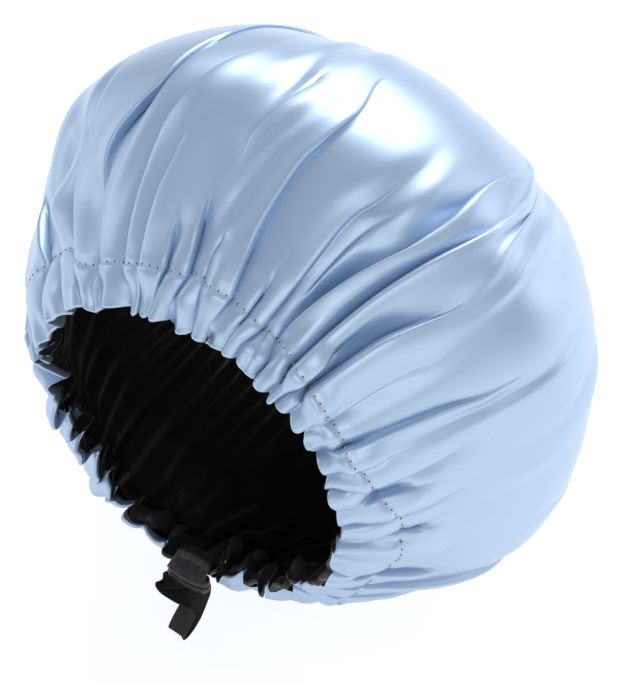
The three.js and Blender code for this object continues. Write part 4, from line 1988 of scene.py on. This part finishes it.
@dataclass(frozen=True)
class Studio:
    """Pale floor, soft lamps and the camera of the front view.

    The floor's glow tops up its lit cloth to white, for the rays that see the background.
    """

    azimuth: float = math.radians(33.4)
    elevation: float = math.radians(45.0)
    distance: float = 1.182
    focal_pixels: float = 2615.0
    long_side_pixels: float = 686.0
    sensor: float = 36.0
    aim_right: float = 0.0116
    aim_down: float = 0.0077
    floor_size: float = 60.0
    floor_colour: tuple[float, float, float, float] = (0.56, 0.565, 0.575, 1.0)
    glow_strength: float = 0.71
    fill_colour: tuple[float, float, float, float] = (0.84, 0.91, 1.0, 1.0)
    fill_strength: float = 0.54

    def build(self, centre: Vector) -> None:
        """Makes the floor, the world, the lamps and the camera round the bonnet.

        Args:
            centre: middle of the dome.
        """
        self.build_camera(centre)
        self.build_floor()
        self.build_world()
        self.build_lamps(centre)
        bpy.context.scene.view_settings.view_transform = "Standard"

    def build_camera(self, centre: Vector) -> None:
        """A long lens from the front, above and to the right.

        Args:
            centre: middle of the dome.
        """
        across = math.cos(self.elevation)
        back = Vector(
            (math.sin(self.azimuth) * across, -math.cos(self.azimuth) * across, math.sin(self.elevation))
        )
        turn = (-back).to_track_quat("-Z", "Y")
        right = turn @ Vector((1, 0, 0))
        up = turn @ Vector((0, 1, 0))
        aim = centre + right * self.aim_right - up * self.aim_down
        data = bpy.data.cameras.new("camera")
        data.sensor_width = self.sensor
        data.lens = self.focal_pixels * self.sensor / self.long_side_pixels
        camera = bpy.data.objects.new("camera", data)
        camera.location = aim + back * self.distance
        camera.rotation_mode = "QUATERNION"
        camera.rotation_quaternion = turn
        bpy.context.scene.collection.objects.link(camera)
        bpy.context.scene.camera = camera

    def build_floor(self) -> None:
        """A wide plain floor that shows white but keeps the bonnet's shadow."""
        bm = bmesh.new()
        bmesh.ops.create_grid(bm, x_segments=2, y_segments=2, size=self.floor_size / 2)
        mesh = bpy.data.meshes.new("floor")
        bm.to_mesh(mesh)
        bm.free()
        material, nodes = blank_material("floor")
        cloth = nodes.add("ShaderNodeBsdfDiffuse", values={"Color": self.floor_colour}).outputs[0]
        white = {"Color": (1.0, 1.0, 1.0, 1.0), "Strength": self.glow_strength}
        glow = nodes.add("ShaderNodeEmission", values=white)
        both = nodes.add("ShaderNodeAddShader", {0: cloth, 1: glow.outputs[0]}).outputs[0]
        seen = nodes.add("ShaderNodeMixShader", {0: background_rays(nodes), 1: cloth, 2: both})
        nodes.add("ShaderNodeOutputMaterial", {"Surface": seen.outputs[0]})
        new_object("floor", mesh, material)

    def build_world(self) -> None:
        """Dim even light from all round, which the satin mirrors as its darker bands."""
        world = bpy.data.worlds.new("studio")
        world.use_nodes = True
        nodes = Nodes(world.node_tree)
        values = {"Color": self.fill_colour, "Strength": self.fill_strength}
        fill = nodes.add("ShaderNodeBackground", values=values)
        nodes.add("ShaderNodeOutputWorld", {"Surface": fill.outputs[0]})
        bpy.context.scene.world = world

    def build_lamps(self, centre: Vector) -> None:
        """Soft boxes behind over the crown, at both sides and low in front.

        Args:
            centre: middle of the dome.
        """
        for box in LAMPS:
            for share in box.shares:
                self.build_lamp(centre, box, share)

    def build_lamp(self, centre: Vector, box: SoftBox, share: float) -> None:
        """One of the nested lamps that give a soft box its soft edge.

        Args:
            centre: what the lamp faces.
            box: the soft box.
            share: size of the lamp as a share of the box.
        """
        data = bpy.data.lights.new(box.name, "AREA")
        data.shape = "ELLIPSE"
        data.size = box.width * share
        data.size_y = box.height * share
        data.color = box.colour
        area = math.pi / 4 * data.size * data.size_y
        data.energy = box.brightness / len(box.shares) * math.pi * area
        offset = Vector(box.offset)
        lamp = bpy.data.objects.new(box.name, data)
        lamp.location = centre + offset * (1.0 - box.nesting * (1.0 - share))
        lamp.rotation_mode = "QUATERNION"
        lamp.rotation_quaternion = (-offset).to_track_quat("-Z", "Y")
        bpy.context.scene.collection.objects.link(lamp)


def main() -> None:
    """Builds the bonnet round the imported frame, piece by piece."""
    logging.basicConfig(level=logging.INFO, format="%(message)s")
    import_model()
    form = BonnetForm()
    drape = Drape(form, Ruffles())
    Studio().build(Vector((0.0, 0.0, form.centre_height)))
    finishes = Finishes()
    cap = Cap(drape, finishes)
    tail = Tail(finishes)
    makers = (
        cap.build_shell,
        cap.build_lining,
        cap.build_topstitch,
        cap.build_needle_hole_shade_grains,
        cap.build_lining_stitches,
        cap.build_rim_seam,
        cap.build_elastic,
        tail.build_sleeve,
        tail.build_strap,
    )
    for make in makers:
        piece = make()
        LOG.info("%s: %d faces", piece.name, len(piece.data.polygons))


if __name__ == "__main__":
    main()
